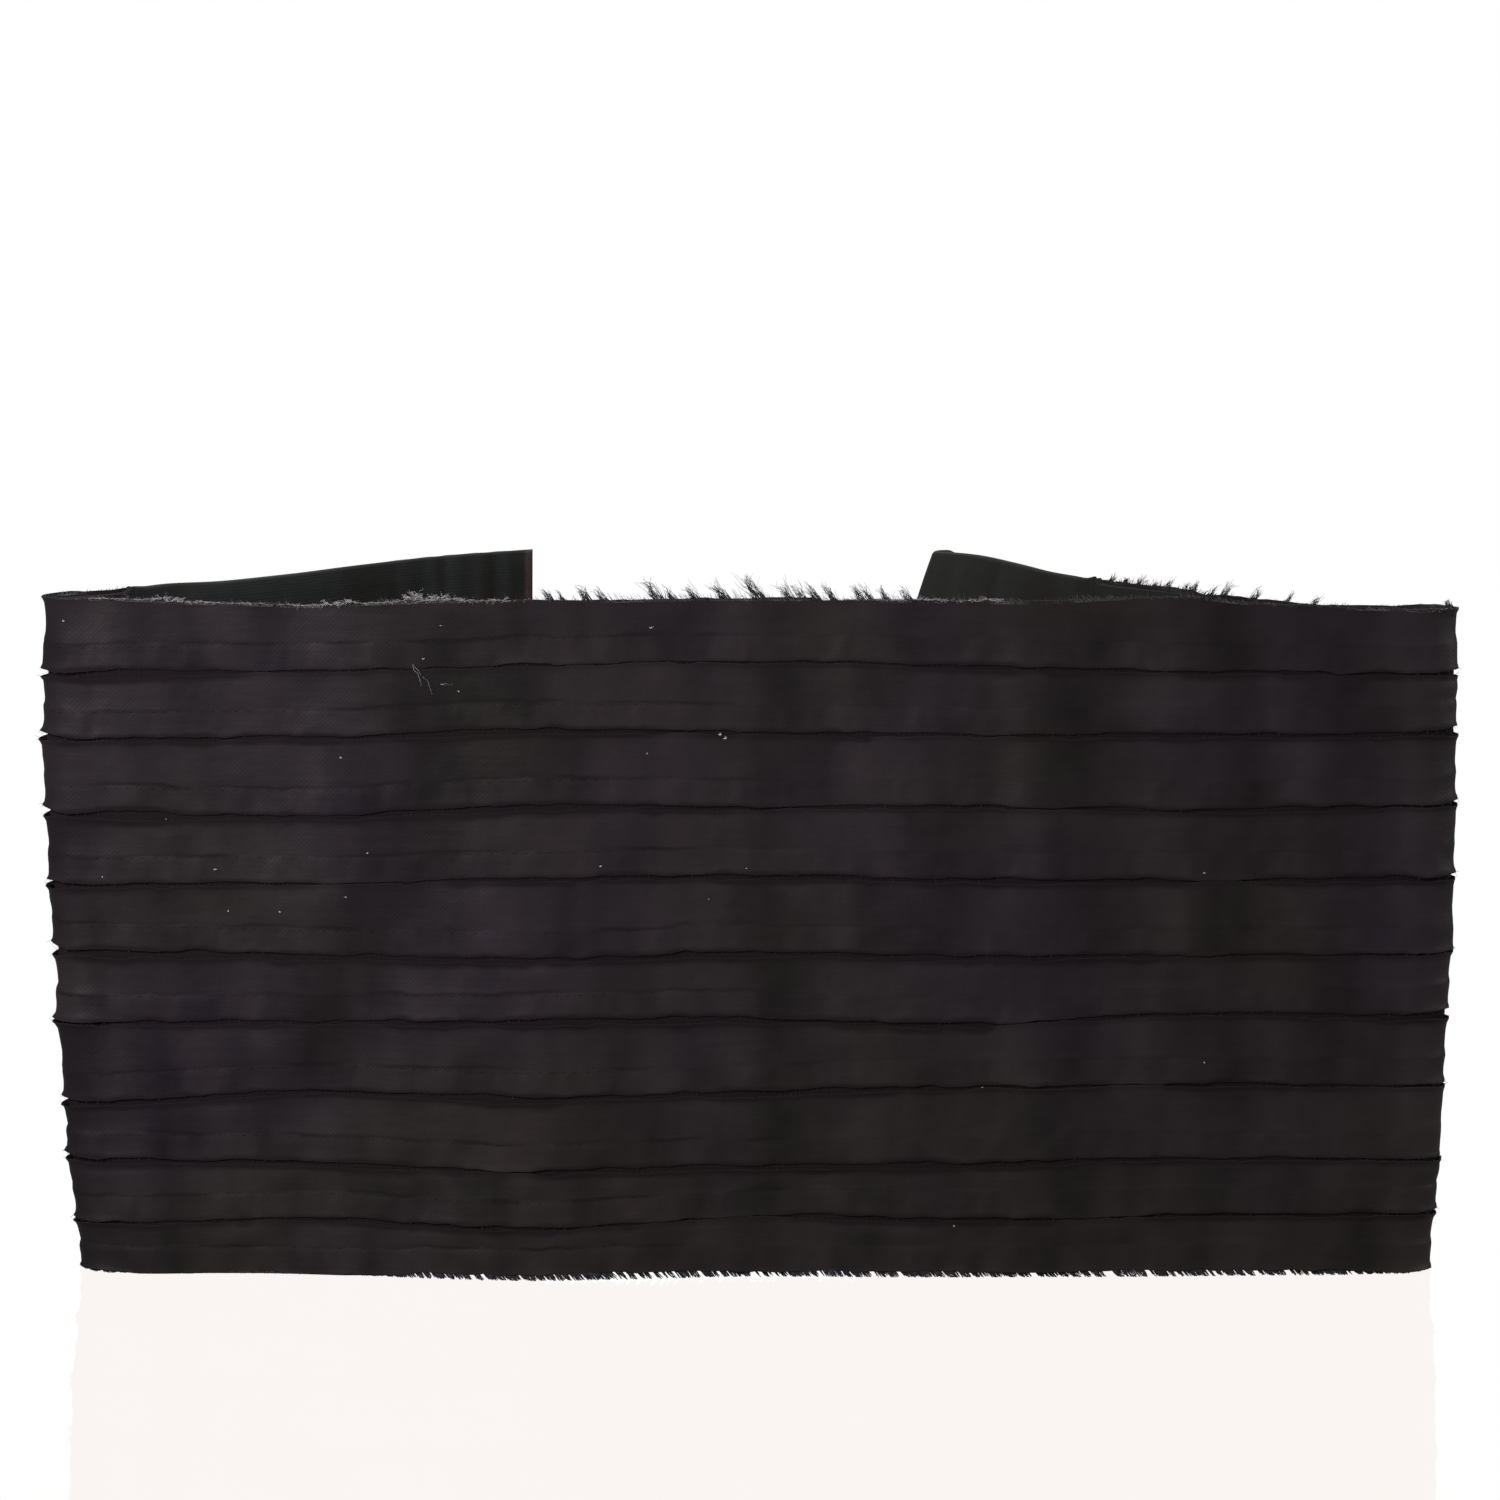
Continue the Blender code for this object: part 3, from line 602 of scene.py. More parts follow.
# %% The two back panels
PANEL_HALF = 1.0 * MM
PANEL_ROWS = 34
HEM_WIDTH = 2.2 * MM
PANEL_GAP = 0.02 * MM
LEFT_CREASES = (
    (-252, -262, 12.0, 0.50, -20, 150), (-231, -226, 9.0, -0.40, 30, 190), (-281, -276, 11.0, -0.45, 20, 190),
    (-216, -222, 5.0, 0.30, 60, 190), (-300, -296, 8.0, 0.30, -20, 120),
)
RIGHT_CREASES = (
    (300, 306, 10.0, -0.50, 20, 190), (322, 312, 9.0, 0.45, -20, 140), (341, 346, 9.0, -0.45, 30, 170),
    (290, 288, 5.0, 0.30, 50, 190), (385, 378, 9.0, 0.40, -20, 150), (398, 402, 6.0, -0.30, 60, 190),
)
FLUTES = {"start": 4.0 * MM, "end": 46.0 * MM, "pitch": 7.8 * MM, "depth": 0.34 * MM}
# Each seam, and how far and over what half width the panel's edge rises there
SEAM_STEPS = ((SEAM_LEFT, 0.4 * MM, 3.0 * MM), (SEAM_RIGHT, 0.8 * MM, 2.5 * MM))


def panel(name, along, creases, wear_and_painted_highlight, shade, faded):
    """A turned panel as one closed skin with round edges. shade is its nap with painted shade, low on the
    right panel, and faded how brown it looks.
    """
    from_end = np.minimum(along - along[0], along[-1] - along) / PANEL_HALF
    half = PANEL_HALF * np.sqrt(np.clip(1 - (1 - np.clip(from_end, 0.02, 1)) ** 2, 0.02, 1))
    top = top_edge(along)
    for seam, step, half_width in SEAM_STEPS:
        top = top + step * np.exp(-(((along - seam) / half_width) ** 2))
    rise = np.linspace(0, 1, PANEL_ROWS)[:, None]
    bend = np.radians(np.arange(30, 180, 30))[:, None]
    side = half + rise * (top - 2 * half)
    height = np.concatenate([side, top - half + half * np.sin(bend), side[::-1], half - half * np.sin(bend)])
    out = np.concatenate([half + 0 * rise, half * np.cos(bend), -half + 0 * rise, -half * np.cos(bend)])
    place = along - CLOTH_START
    share = np.clip((place - FLUTES["start"]) / (FLUTES["end"] - FLUTES["start"]), 0, 1)
    turn = 2 * np.pi * place / FLUTES["pitch"] + 1.2 * wander(along, 11 * MM, 483)
    flutes = FLUTES["depth"] * np.sqrt(np.sin(np.pi * share)) * np.sin(turn)
    flutes = flutes * (1 + 0.6 * wander(along, 7 * MM, 482))
    out = out + creased(creases, along, height) + flutes * eased((height / HEIGHT + 0.15) / 0.5)
    # the nap follows the flutes, painting light and shade on their sides
    nap_and_painted_shading = shade + 0.3 * wander(along, 12 * MM, 480) + 0.15 * wander(along, 4 * MM, 481) + 0.9 * flutes / MM
    return grid(name, along[None, :], height, out, closed=True, wear_and_painted_highlight=wear_and_painted_highlight, nap_and_painted_shading=nap_and_painted_shading, faded=faded)


def panel_columns(start, end, step):
    """Places along a panel, closer together at its rounded ends."""
    close = np.array([0, 0.08, 0.25, 0.55, 1.0]) * PANEL_HALF
    middle = columns_between(start + 2 * MM, end - 2 * MM, step)
    return np.concatenate([start + close, middle, end - close[::-1]])


left_columns = panel_columns(CLOTH_START, SEAM_LEFT - PANEL_GAP, 1.1 * MM)
# the hem's folded edge at the left end is painted lighter and browner: a painted highlight where the fold
# catches the light
painted_lit_hem = left_columns < CLOTH_START + HEM_WIDTH
left_panel = panel("left_back_panel", left_columns, LEFT_CREASES, wear_and_painted_highlight=painted_lit_hem, shade=0.34, faded=0.1)
right_columns = panel_columns(SEAM_RIGHT + PANEL_GAP, CLOTH_END, 0.9 * MM)
# the right panel's low shade is painted shade, as the lamp on the left lights it more
right_panel = panel("right_back_panel", right_columns, RIGHT_CREASES, wear_and_painted_highlight=0.0, shade=0.1, faded=0.5)

# %% [markdown]
# Materials come next, because the threads need one when they are made. A node tree is built by one small
# helper that adds a node, sets it and links it. Colours are written as the hex values that a colour
# picker shows, and one function turns them into the linear light that Blender calculates with.

# %% Helpers for node trees and colours
SHEEN_TINT = "#8a8284"


def add(tree, kind, inputs=None, **settings):
    """Adds a node. Each input, by name or number, gets a value, or a node or output to link from."""
    made = tree.nodes.new(kind)
    for name, value in settings.items():
        setattr(made, name, value)
    for name, value in (inputs or {}).items():
        if isinstance(name, int):
            socket = made.inputs[name]
        else:
            socket = next(s for s in made.inputs if s.name == name and s.enabled)
        if isinstance(value, bpy.types.Node):
            value = next(s for s in value.outputs if s.enabled)
        if isinstance(value, bpy.types.NodeSocket):
            tree.links.new(value, socket)
        else:
            socket.default_value = value
    return made


def linear(code):
    """A hex colour as Blender's linear red, green, blue and alpha."""
    parts = [int(code[k:k + 2], 16) / 255 for k in (1, 3, 5)]
    return tuple(p / 12.92 if p <= 0.04045 else ((p + 0.055) / 1.055) ** 2.4 for p in parts) + (1.0,)


def plain_shader(name, roughness, specular, sheen, sheen_roughness):
    """A new material whose shader has its constant values set, and its tree."""
    material = bpy.data.materials.new(name)
    material.use_nodes = True
    shader = material.node_tree.nodes["Principled BSDF"]
    for socket, value in (("Roughness", roughness), ("Specular IOR Level", specular), ("Sheen Weight", sheen),
                          ("Sheen Roughness", sheen_roughness), ("Sheen Tint", linear(SHEEN_TINT))):
        shader.inputs[socket].default_value = value
    return material, material.node_tree, shader


# %% [markdown]
# All three cloths are woven, so one function makes them from real sizes: the spacing of the threads, the
# length and height of the slubs (thicker bits of yarn that show as faint streaks), and the size of the
# patches where the nap lies another way. The yarns are 0.2 mm apart, too fine to show in the picture,
# so the weave is drawn 0.8 or 0.9 mm wide and very shallow. Bump heights are in millimetres. The colour
# goes from dark to light with the nap and the painted sheen and shading, from purple to brown with the
# fading, to a black of painted shade beside the crevices, and to a paler colour at worn edges and at
# the painted highlight on the left panel's hem.

# %% The woven materials
PAINTED_SHADE_COLOUR = "#1a1417"  # the colour of the painted shade in and beside the crevices, where little light reaches


def woven(name, dark, dark_tint, light, light_tint, wear_and_painted_highlight, gloss, thread, turn, heights):
    """A woven cloth. gloss holds roughness, specular and sheen; thread is the spacing in mm, turn the weave's
    turn in degrees, and heights the bump heights of weave, slubs and dents in mm."""
    roughness, specular, sheen = gloss
    weave, slub, dent = heights
    material, tree, shader = plain_shader(name, roughness, specular, sheen, 0.45)
    cloth = add(tree, "ShaderNodeUVMap", uv_map="cloth")
    turned = add(tree, "ShaderNodeMapping", {"Vector": cloth, "Rotation": (0, 0, np.radians(turn))})
    period = 0.3142 / (thread * MM)  # a wave texture of scale 1 repeats every 0.3142 units
    warp = add(tree, "ShaderNodeTexWave", {"Vector": turned, "Scale": period, "Distortion": 0.6},
               bands_direction="X")
    weft = add(tree, "ShaderNodeTexWave", {"Vector": turned, "Scale": period, "Distortion": 0.6},
               bands_direction="Y")
    drawn = add(tree, "ShaderNodeMapping", {"Vector": cloth, "Scale": (45, 700, 1)})
    slubs = add(tree, "ShaderNodeTexNoise", {"Vector": drawn, "Scale": 1.0, "Detail": 3.0, "Roughness": 0.6})
    laid = add(tree, "ShaderNodeMapping", {"Vector": cloth, "Scale": (70, 48, 1), "Rotation": (0, 0, 0.35)})
    nap_and_painted_shading = add(tree, "ShaderNodeTexNoise", {"Vector": laid, "Scale": 1.0, "Detail": 4.0, "Roughness": 0.55})
    dents = add(tree, "ShaderNodeTexNoise", {"Vector": cloth, "Scale": 130.0, "Detail": 2.0})
    tone = add(tree, "ShaderNodeMath", {0: slubs, 1: 0.22, 2: nap_and_painted_shading}, operation="MULTIPLY_ADD")
    facts = {fact: add(tree, "ShaderNodeAttribute", attribute_name=fact).outputs["Fac"]
             for fact in ("nap_and_painted_shading", "faded", "wear_and_painted_highlight", "painted_shade")}
    spread = add(tree, "ShaderNodeMath", {0: tone, 1: 0.9, 2: facts["nap_and_painted_shading"]}, operation="MULTIPLY_ADD")
    shade = add(tree, "ShaderNodeMapRange", {"Value": spread, "From Min": 0.60, "From Max": 1.60})
    tinted = add(tree, "ShaderNodeTexNoise", {"Vector": cloth, "Scale": 17.0, "Detail": 1.0})
    tinge = add(tree, "ShaderNodeMath", {0: facts["faded"], 1: 0.5, 2: tinted}, operation="MULTIPLY_ADD")
    hue = add(tree, "ShaderNodeMapRange", {"Value": tinge, "From Min": 0.58, "From Max": 1.0})
    low = add(tree, "ShaderNodeMix", {"Factor": hue, "A": linear(dark), "B": linear(dark_tint)},
              data_type="RGBA")
    high = add(tree, "ShaderNodeMix", {"Factor": hue, "A": linear(light), "B": linear(light_tint)},
               data_type="RGBA")
    colour = add(tree, "ShaderNodeMix", {"Factor": shade, "A": low, "B": high}, data_type="RGBA")
    fluff = add(tree, "ShaderNodeTexNoise", {"Vector": cloth, "Scale": 900.0, "Detail": 2.0})
    # frayed carries wear at the raw edges and the painted highlight on the left panel's hem
    frayed = add(tree, "ShaderNodeMath", {0: facts["wear_and_painted_highlight"], 1: fluff}, operation="MULTIPLY")
    # the painted shade beside the crevices goes in first, then the colour of wear and painted highlight
    for factor, other in ((facts["painted_shade"], PAINTED_SHADE_COLOUR), (frayed, wear_and_painted_highlight)):
        colour = add(tree, "ShaderNodeMix", {"Factor": factor, "A": colour, "B": linear(other)},
                     data_type="RGBA")
    tree.links.new(colour.outputs[2], shader.inputs["Base Color"])
    matt = add(tree, "ShaderNodeMapRange", {"Value": spread, "From Min": 0.65, "From Max": 1.65,
                                            "To Min": min(roughness + 0.1, 1), "To Max": roughness - 0.06})
    rough = add(tree, "ShaderNodeMath", {0: facts["painted_shade"], 1: 0.5, 2: matt}, operation="MULTIPLY_ADD",
                use_clamp=True)
    tree.links.new(rough.outputs[0], shader.inputs["Roughness"])
    height = 0.0
    for texture, depth in ((warp, weave), (weft, weave), (slubs, slub), (dents, dent), (fluff, 0.03)):
        height = add(tree, "ShaderNodeMath", {0: texture, 1: depth, 2: height}, operation="MULTIPLY_ADD")
    bump = add(tree, "ShaderNodeBump", {"Height": height, "Distance": MM, "Strength": 1.0})
    tree.links.new(bump.outputs["Normal"], shader.inputs["Normal"])
    print(name, "nodes:", len(tree.nodes))
    return material


# Bias-cut satin of cotton and viscose, washed: it keeps a faint sheen, in soft patches
strip_satin = woven("washed bias-cut satin", "#181218", "#171413", "#2d262c", "#2d2726", "#383335",
                    (0.52, 0.10, 0.03), 0.9, 45, (0.012, 0.07, 0.35))
# Plain matt cotton, woven straight
base_cotton = woven("plain-woven cotton base", "#171716", "#171713", "#232626", "#262623", "#2a2a28",
                    (0.8, 0.12, 0.03), 0.9, 0, (0.030, 0.06, 0.20))
# Tightly woven cotton and viscose, turned and pressed: darker and even
# its last colour is that of wear and of the painted highlight on the left panel's hem
panel_cloth = woven("pressed cotton panel", "#181715", "#181713", "#242828", "#292926", "#4b3a38",
                    (0.62, 0.15, 0.04), 0.8, 0, (0.022, 0.08, 0.30))

# %% [markdown]
# Loose yarn ends, sewing thread and lint are fibres with no weave. A frayed end is matt, and it looks
# pale where single fibres catch the light and nearly black where they lie close together, so its colour
# follows an attribute that is stored on each thread. Sewing thread is twisted and a little glossy.

# %% The thread materials


def fibre(name, dark, pale, roughness, specular, sheen, size):
    """A material for threads, from dark to pale by their attribute; on frayed yarn the pale end is a painted
    highlight. size is that of the twist in mm.
    """
    material, tree, shader = plain_shader(name, roughness, specular, sheen, 0.5)
    place = add(tree, "ShaderNodeTexCoord")
    twist = add(tree, "ShaderNodeTexNoise",
                {"Vector": place.outputs["Object"], "Scale": 1 / (size * MM), "Detail": 2.0})
    paleness = add(tree, "ShaderNodeAttribute", attribute_name="pale")
    amount = add(tree, "ShaderNodeMath", {0: twist, 1: 0.3, 2: paleness.outputs["Fac"]},
                 operation="MULTIPLY_ADD")
    shift = add(tree, "ShaderNodeMapRange", {"Value": amount, "From Min": 0.12, "From Max": 1.15})
    colour = add(tree, "ShaderNodeMix", {"Factor": shift, "A": linear(dark), "B": linear(pale)},
                 data_type="RGBA")
    tree.links.new(colour.outputs[2], shader.inputs["Base Color"])
    bump = add(tree, "ShaderNodeBump", {"Height": twist, "Distance": 0.05 * MM})
    tree.links.new(bump.outputs["Normal"], shader.inputs["Normal"])
    return material


# the pale colour of frayed yarn, where the attribute is high on the rim and serration, is a painted highlight
frayed_yarn = fibre("frayed yarn ends", "#1b1a22", "#a09a9b", 0.85, 0.1, 0.1, 1.2)
sewing_thread = fibre("twisted sewing thread", "#0f0e0f", "#191718", 0.7, 0.1, 0.0, 0.6)
lint_fibre = fibre("pale cotton lint", "#8d8a88", "#e8e4e0", 0.85, 0.2, 0.2, 0.8)
print("thread materials: 3")

# %% [markdown]
# Fraying is the work for Geometry Nodes: the same thing hundreds of times along a path, never twice
# alike. The path is a guide, a line of points that also carry what should grow there: which way the
# threads lean, how long they are and how pale. The tree resamples the guide and stands one line on each
# point. Each line strays a little from its lean, and its length is a matter of luck. Then the tree bends
# the lines with a noise that grows towards their tips, lifts what would dip into the floor, and sweeps a
# three-sided profile along them. Three sides are enough for something thinner than a pixel.

# %% A tree that grows loose threads
FLOOR_CLEARANCE = 0.15 * MM  # the middle of a thread lies at least this far above the floor


def group_inputs(tree, **kinds):
    """Gives a tree its named inputs, kind by kind, and its geometry output, and returns the inputs."""
    for kind, names in kinds.items():
        for name in names:
            tree.interface.new_socket(name=name, in_out="INPUT", socket_type="NodeSocket" + kind)
    tree.interface.new_socket(name="Result", in_out="OUTPUT", socket_type="NodeSocketGeometry")
    return tree.nodes.new("NodeGroupInput").outputs


def swept(tree, given, line, **more):
    """Sweeps a three-sided profile of the tree's thickness along a line."""
    radius = add(tree, "ShaderNodeMath", {0: given["Thickness"], 1: 0.5}, operation="MULTIPLY")
    profile = add(tree, "GeometryNodeCurvePrimitiveCircle", {"Resolution": 3, "Radius": radius})
    return add(tree, "GeometryNodeCurveToMesh",
               {"Curve": line, "Profile Curve": profile, "Fill Caps": True, **more})


def put_out(tree, given, geometry):
    """Ends a tree: instances are made real, and the material is set."""
    real = add(tree, "GeometryNodeRealizeInstances", {"Geometry": geometry})
    coloured = add(tree, "GeometryNodeSetMaterial", {"Geometry": real, "Material": given["Material"]})
    add(tree, "NodeGroupOutput", {"Result": coloured})
    return tree


def loose_threads():
    """A tree that grows bent, tapering threads along a guide."""
    tree = bpy.data.node_groups.new("loose threads", "GeometryNodeTree")
    given = group_inputs(
        tree, Geometry=["Guide"], Int=["Points", "Seed"], Material=["Material"],
        Float=["Spacing", "Thickness", "Curl", "Curl size", "Stray", "Shortest", "Tip"])
    path = add(tree, "GeometryNodeMeshToCurve", {"Mesh": given["Guide"]})
    roots = add(tree, "GeometryNodeResampleCurve", {"Curve": path, "Length": given["Spacing"]}, mode="LENGTH")
    lean = add(tree, "GeometryNodeInputNamedAttribute", {"Name": "lean"}, data_type="FLOAT_VECTOR")
    astray = add(tree, "FunctionNodeRandomValue",
                 {"Min": (-1.0,) * 3, "Max": (1.0,) * 3, "Seed": given["Seed"]}, data_type="FLOAT_VECTOR")
    astray = add(tree, "ShaderNodeVectorMath", {0: astray, "Scale": given["Stray"]}, operation="SCALE")
    way = add(tree, "ShaderNodeVectorMath", {0: lean, 1: astray}, operation="ADD")
    turned = add(tree, "FunctionNodeAlignRotationToVector", {"Vector": way}, axis="Z")
    reach = add(tree, "GeometryNodeInputNamedAttribute", {"Name": "reach"}, data_type="FLOAT")
    luck = add(tree, "FunctionNodeRandomValue", {"Min": given["Shortest"], "Max": 1.1, "Seed": given["Seed"]},
               data_type="FLOAT")
    length = add(tree, "ShaderNodeMath", {0: reach, 1: luck}, operation="MULTIPLY")
    line = add(tree, "GeometryNodeCurvePrimitiveLine", {"Start": (0, 0, 0), "End": (0, 0, 1)})
    divided = add(tree, "GeometryNodeResampleCurve", {"Curve": line, "Count": given["Points"]}, mode="COUNT")
    stood = add(tree, "GeometryNodeInstanceOnPoints",
                {"Points": roots, "Instance": divided, "Rotation": turned, "Scale": length})
    loose = add(tree, "GeometryNodeRealizeInstances", {"Geometry": stood})
    place = add(tree, "GeometryNodeInputPosition")
    fineness = add(tree, "ShaderNodeMath", {0: 1.0, 1: given["Curl size"]}, operation="DIVIDE")
    noise = add(tree, "ShaderNodeTexNoise", {"Vector": place, "Scale": fineness, "Detail": 1.0})
    centred = add(tree, "ShaderNodeVectorMath", {0: noise.outputs["Color"], 1: (0.5,) * 3},
                  operation="SUBTRACT")
    part = add(tree, "GeometryNodeSplineParameter").outputs["Factor"]
    bend = add(tree, "GeometryNodeSplineLength").outputs["Length"]
    for factor in (part, given["Curl"]):
        bend = add(tree, "ShaderNodeMath", {0: bend, 1: factor}, operation="MULTIPLY")
    shift = add(tree, "ShaderNodeVectorMath", {0: centred, "Scale": bend}, operation="SCALE")
    bent = add(tree, "GeometryNodeSetPosition", {"Geometry": loose, "Offset": shift})
    parts = add(tree, "ShaderNodeSeparateXYZ", {"Vector": place}).outputs
    lifted_z = add(tree, "ShaderNodeMath", {0: parts["Z"], 1: FLOOR_CLEARANCE}, operation="MAXIMUM")
    clear = add(tree, "ShaderNodeCombineXYZ", {"X": parts["X"], "Y": parts["Y"], "Z": lifted_z})
    bent = add(tree, "GeometryNodeSetPosition", {"Geometry": bent, "Position": clear})
    taper = add(tree, "ShaderNodeMapRange", {"Value": part, "To Min": 1.0, "To Max": given["Tip"]})
    return put_out(tree, given, swept(tree, given, bent, Scale=taper))


THREADS = loose_threads()
print("loose threads, nodes:", len(THREADS.nodes))

# %% [markdown]
# A guide is a mesh with edges and no faces, and its extra facts are attributes on its points. The
# function grown() hangs a tree on a guide, sets the tree's inputs by their identifiers, and keeps only
# the resulting mesh, so that nothing live is left for the export. The function threads() does both for
# every kind of loose thread, from rows of roots, directions, lengths and shades.

# %% Guides and growing


def guide(name, runs, **facts):
    """A mesh of lines. runs is a list of point rows; each fact has one array for each run."""
    edges = []
    start = 0
    for run in runs:
        edges += [(start + k, start + k + 1) for k in range(len(run) - 1)]
        start += len(run)
    mesh = bpy.data.meshes.new(name)
    mesh.from_pydata(np.concatenate(runs), edges, [])
    for fact, values in facts.items():
        values = np.concatenate(values).astype(np.float32)
        is_vector = values.ndim == 2
        layer = mesh.attributes.new(fact, "FLOAT_VECTOR" if is_vector else "FLOAT", "POINT")
        layer.data.foreach_set("vector" if is_vector else "value", values.ravel())
    return mesh


def grown(name, lines, tree, sizes):
    """Runs a tree on a guide and returns the result as a plain mesh object."""
    carrier = bpy.data.objects.new(name + "_guide", lines)
    bpy.context.scene.collection.objects.link(carrier)
    modifier = carrier.modifiers.new("growth", "NODES")
    modifier.node_group = tree
    for item in tree.interface.items_tree:
        if item.in_out == "INPUT" and item.name in sizes:
            modifier[item.identifier] = sizes[item.name]
    evaluated = carrier.evaluated_get(bpy.context.evaluated_depsgraph_get())
    mesh = bpy.data.meshes.new_from_object(evaluated)
    carrier.modifiers.remove(modifier)
    bpy.data.objects.remove(carrier)
    mesh.shade_smooth()
    return link(name, mesh)


def threads(name, rows, spacing, thickness, curl, curl_size, seed, points=5, stray=0.28, shortest=0.4,
            tip=0.35, material=frayed_yarn):
    """Grows loose threads. Spacing, thickness and the size of the curls are in mm."""
    roots, ways, lengths, shades = zip(*rows)
    lines = guide(name + "_guide", roots, lean=ways, reach=lengths, pale=shades)
    return grown(name, lines, THREADS, {
        "Spacing": spacing * MM, "Thickness": thickness * MM, "Points": points, "Curl": curl,
        "Curl size": curl_size * MM, "Stray": stray, "Shortest": shortest, "Tip": tip, "Seed": seed,
        "Material": material})


def across(along, height, slope, rise, out):
    """Directions in space: slope along the cloth, rise upwards and out outwards."""
    here = on_cloth(along, height, 0.0)
    ahead = on_cloth(along + 0.5 * MM, height, 0.0) - here
    ahead /= np.linalg.norm(ahead, axis=-1, keepdims=True)
    outwards = on_cloth(along, height, MM) - here
    outwards /= np.linalg.norm(outwards, axis=-1, keepdims=True)
    slope, rise, out = (np.broadcast_to(v, along.shape)[:, None] for v in (slope, rise, out))
    way = slope * ahead + rise * np.array([0.0, 0.0, 1.0]) + out * outwards
    return way / np.linalg.norm(way, axis=-1, keepdims=True)


# %% [markdown]
# The upper edge of the top strip frays in three ways. A short serration of threads leans to the left all
# along it, painted paler in places as a painted highlight. At the middle of the front, wet or rubbed
# threads have gathered into tufts: all the threads near a tuft lean towards its tip. And on the left
# half, and in two short stretches further right, fibres have curled over into a rim, with thicker clumps
# here and there, painted pale as a painted highlight where they catch the light from above. The same
# tree grows them all.

# %% The frayed upper edge
FRAY_TOP = (  # place along the cloth and length of the threads, in mm
    (-206, 0.7), (-165, 0.7), (-140, 1.0), (-90, 1.4), (-55, 1.9), (0, 2.2), (45, 1.8), (75, 1.2),
    (120, 0.7), (200, 0.4), (216, 1.0), (236, 1.4), (248, 1.9), (262, 2.0), (272, 1.8), (281, 1.0),
)
TUFTS = (  # place of the tip, its height over the edge, and half the width of its base, in mm
    (-52.5, 2.2, 1.2), (-49, 1.7, 1.0), (-43.5, 2.4, 1.3), (-39, 2.2, 1.0), (-26.5, 3.6, 1.5),
    (-21.5, 2.2, 1.0), (-16, 2.4, 1.2), (-9, 2.9, 1.4), (-1.5, 4.4, 1.9), (8, 2.7, 1.2), (11.5, 2.4, 0.9),
    (14.5, 2.8, 1.1), (19, 2.6, 1.0), (26.5, 2.3, 1.0), (28.5, 2.7, 0.9), (33, 2.2, 1.0),
    (38.5, 2.4, 1.1), (176.5, 1.5, 1.4), (-160, 1.2, 1.0), (214, 1.8, 0.9), (221, 2.0, 0.9),
    (229.5, 1.9, 1.0), (237, 2.4, 0.9), (241, 1.6, 0.6), (246.5, 1.7, 1.2), (249, 1.3, 0.6),
    (254, 1.6, 0.9), (259, 1.1, 0.8), (264, 1.7, 0.6), (270, 1.1, 0.9), (275.5, 1.3, 0.8),
)
TUFT_WIDTH = 1.1
TUFT_ROOTS = 12
TUFT_HALF_DEPTH = 0.25 * MM
CLUMPS = (  # place, half width in mm and how thick the pale rim is there
    (-149, 6, 1.1), (-139, 4, 0.8), (-104.5, 8, 1.5), (-85, 5, 1.2), (-76, 8, 1.6), (-64, 4, 0.5),
    (45, 5, 1.0), (60, 6, 1.4), (176, 2, 0.5),
)
RIM_ENDS = ((-172, -57), (24, 64), (172, 179))
TUFT_LEAN = 0.95
ROOT_DEPTH = 0.9 * MM


def serration(along):
    """Root points, directions, lengths and paleness of the threads between the tufts; the paleness is a
    painted highlight.
    """
    top = top_edge(along)
    length = np.interp(along, *np.array(FRAY_TOP).T * MM) * (0.75 + 0.5 * wander(along, 3 * MM, 7))
    roots = on_cloth(along, top - ROOT_DEPTH, STRIP_OUT + 0.1 * MM + creased(CREASES, along, top))
    way = across(along, top, -0.75 + 0.35 * wander(along, 2 * MM, 8), 1.0, 0.1)
    return roots, way, length + ROOT_DEPTH, 0.2 + 0.2 * wander(along, 4 * MM, 9)


def tufts():
    """One short run of roots under each tuft, with every thread leaning towards the tip."""
    rows = []
    for place, rise, half in TUFTS:
        base = (place + TUFT_LEAN * rise) * MM
        along = np.linspace(base - TUFT_WIDTH * half * MM, base + TUFT_WIDTH * half * MM, TUFT_ROOTS)
        top = top_edge(along)
        out = STRIP_OUT + creased(CREASES, along, top)
        for depth in (-TUFT_HALF_DEPTH, TUFT_HALF_DEPTH):
            roots = on_cloth(along, top - 0.7 * MM, out + depth)
            way = on_cloth(np.full(TUFT_ROOTS, place * MM), top + rise * MM, out) - roots
            length = np.linalg.norm(way, axis=1)
            rows.append((roots, way / length[:, None], 1.25 * length, np.full(TUFT_ROOTS, 0.05)))
    return rows


def rim(along):
    """Roots of the fibres that lie curled along the edge, with the paleness of their painted highlight."""
    top = top_edge(along)
    thick = np.maximum(0.02, 0.18 + 0.22 * wander(along, 5 * MM, 15))
    for place, half, amount in CLUMPS:
        thick = thick + amount * np.exp(-(((along - place * MM) / (half * 0.6 * MM)) ** 2))
    thick = thick * (1 + 0.5 * wander(along, 2.5 * MM, 12))
    climb = 0.45 * MM * thick * (1 + wander(along, 0.45 * MM, 17)) - 0.35 * MM
    roots = on_cloth(along, top + climb, STRIP_OUT + 0.2 * MM + creased(CREASES, along, top))
    sideways = np.sign(wander(along, 0.9 * MM, 13)) * (1.1 + 0.3 * wander(along, 2 * MM, 14))
    way = across(along, top, sideways, 0.10 * thick + 0.35 * wander(along, 1.4 * MM, 16), 0.2)
    return roots, way, (0.9 + 0.9 * thick) * MM, 0.62 + 0.2 * np.minimum(thick, 1.5)


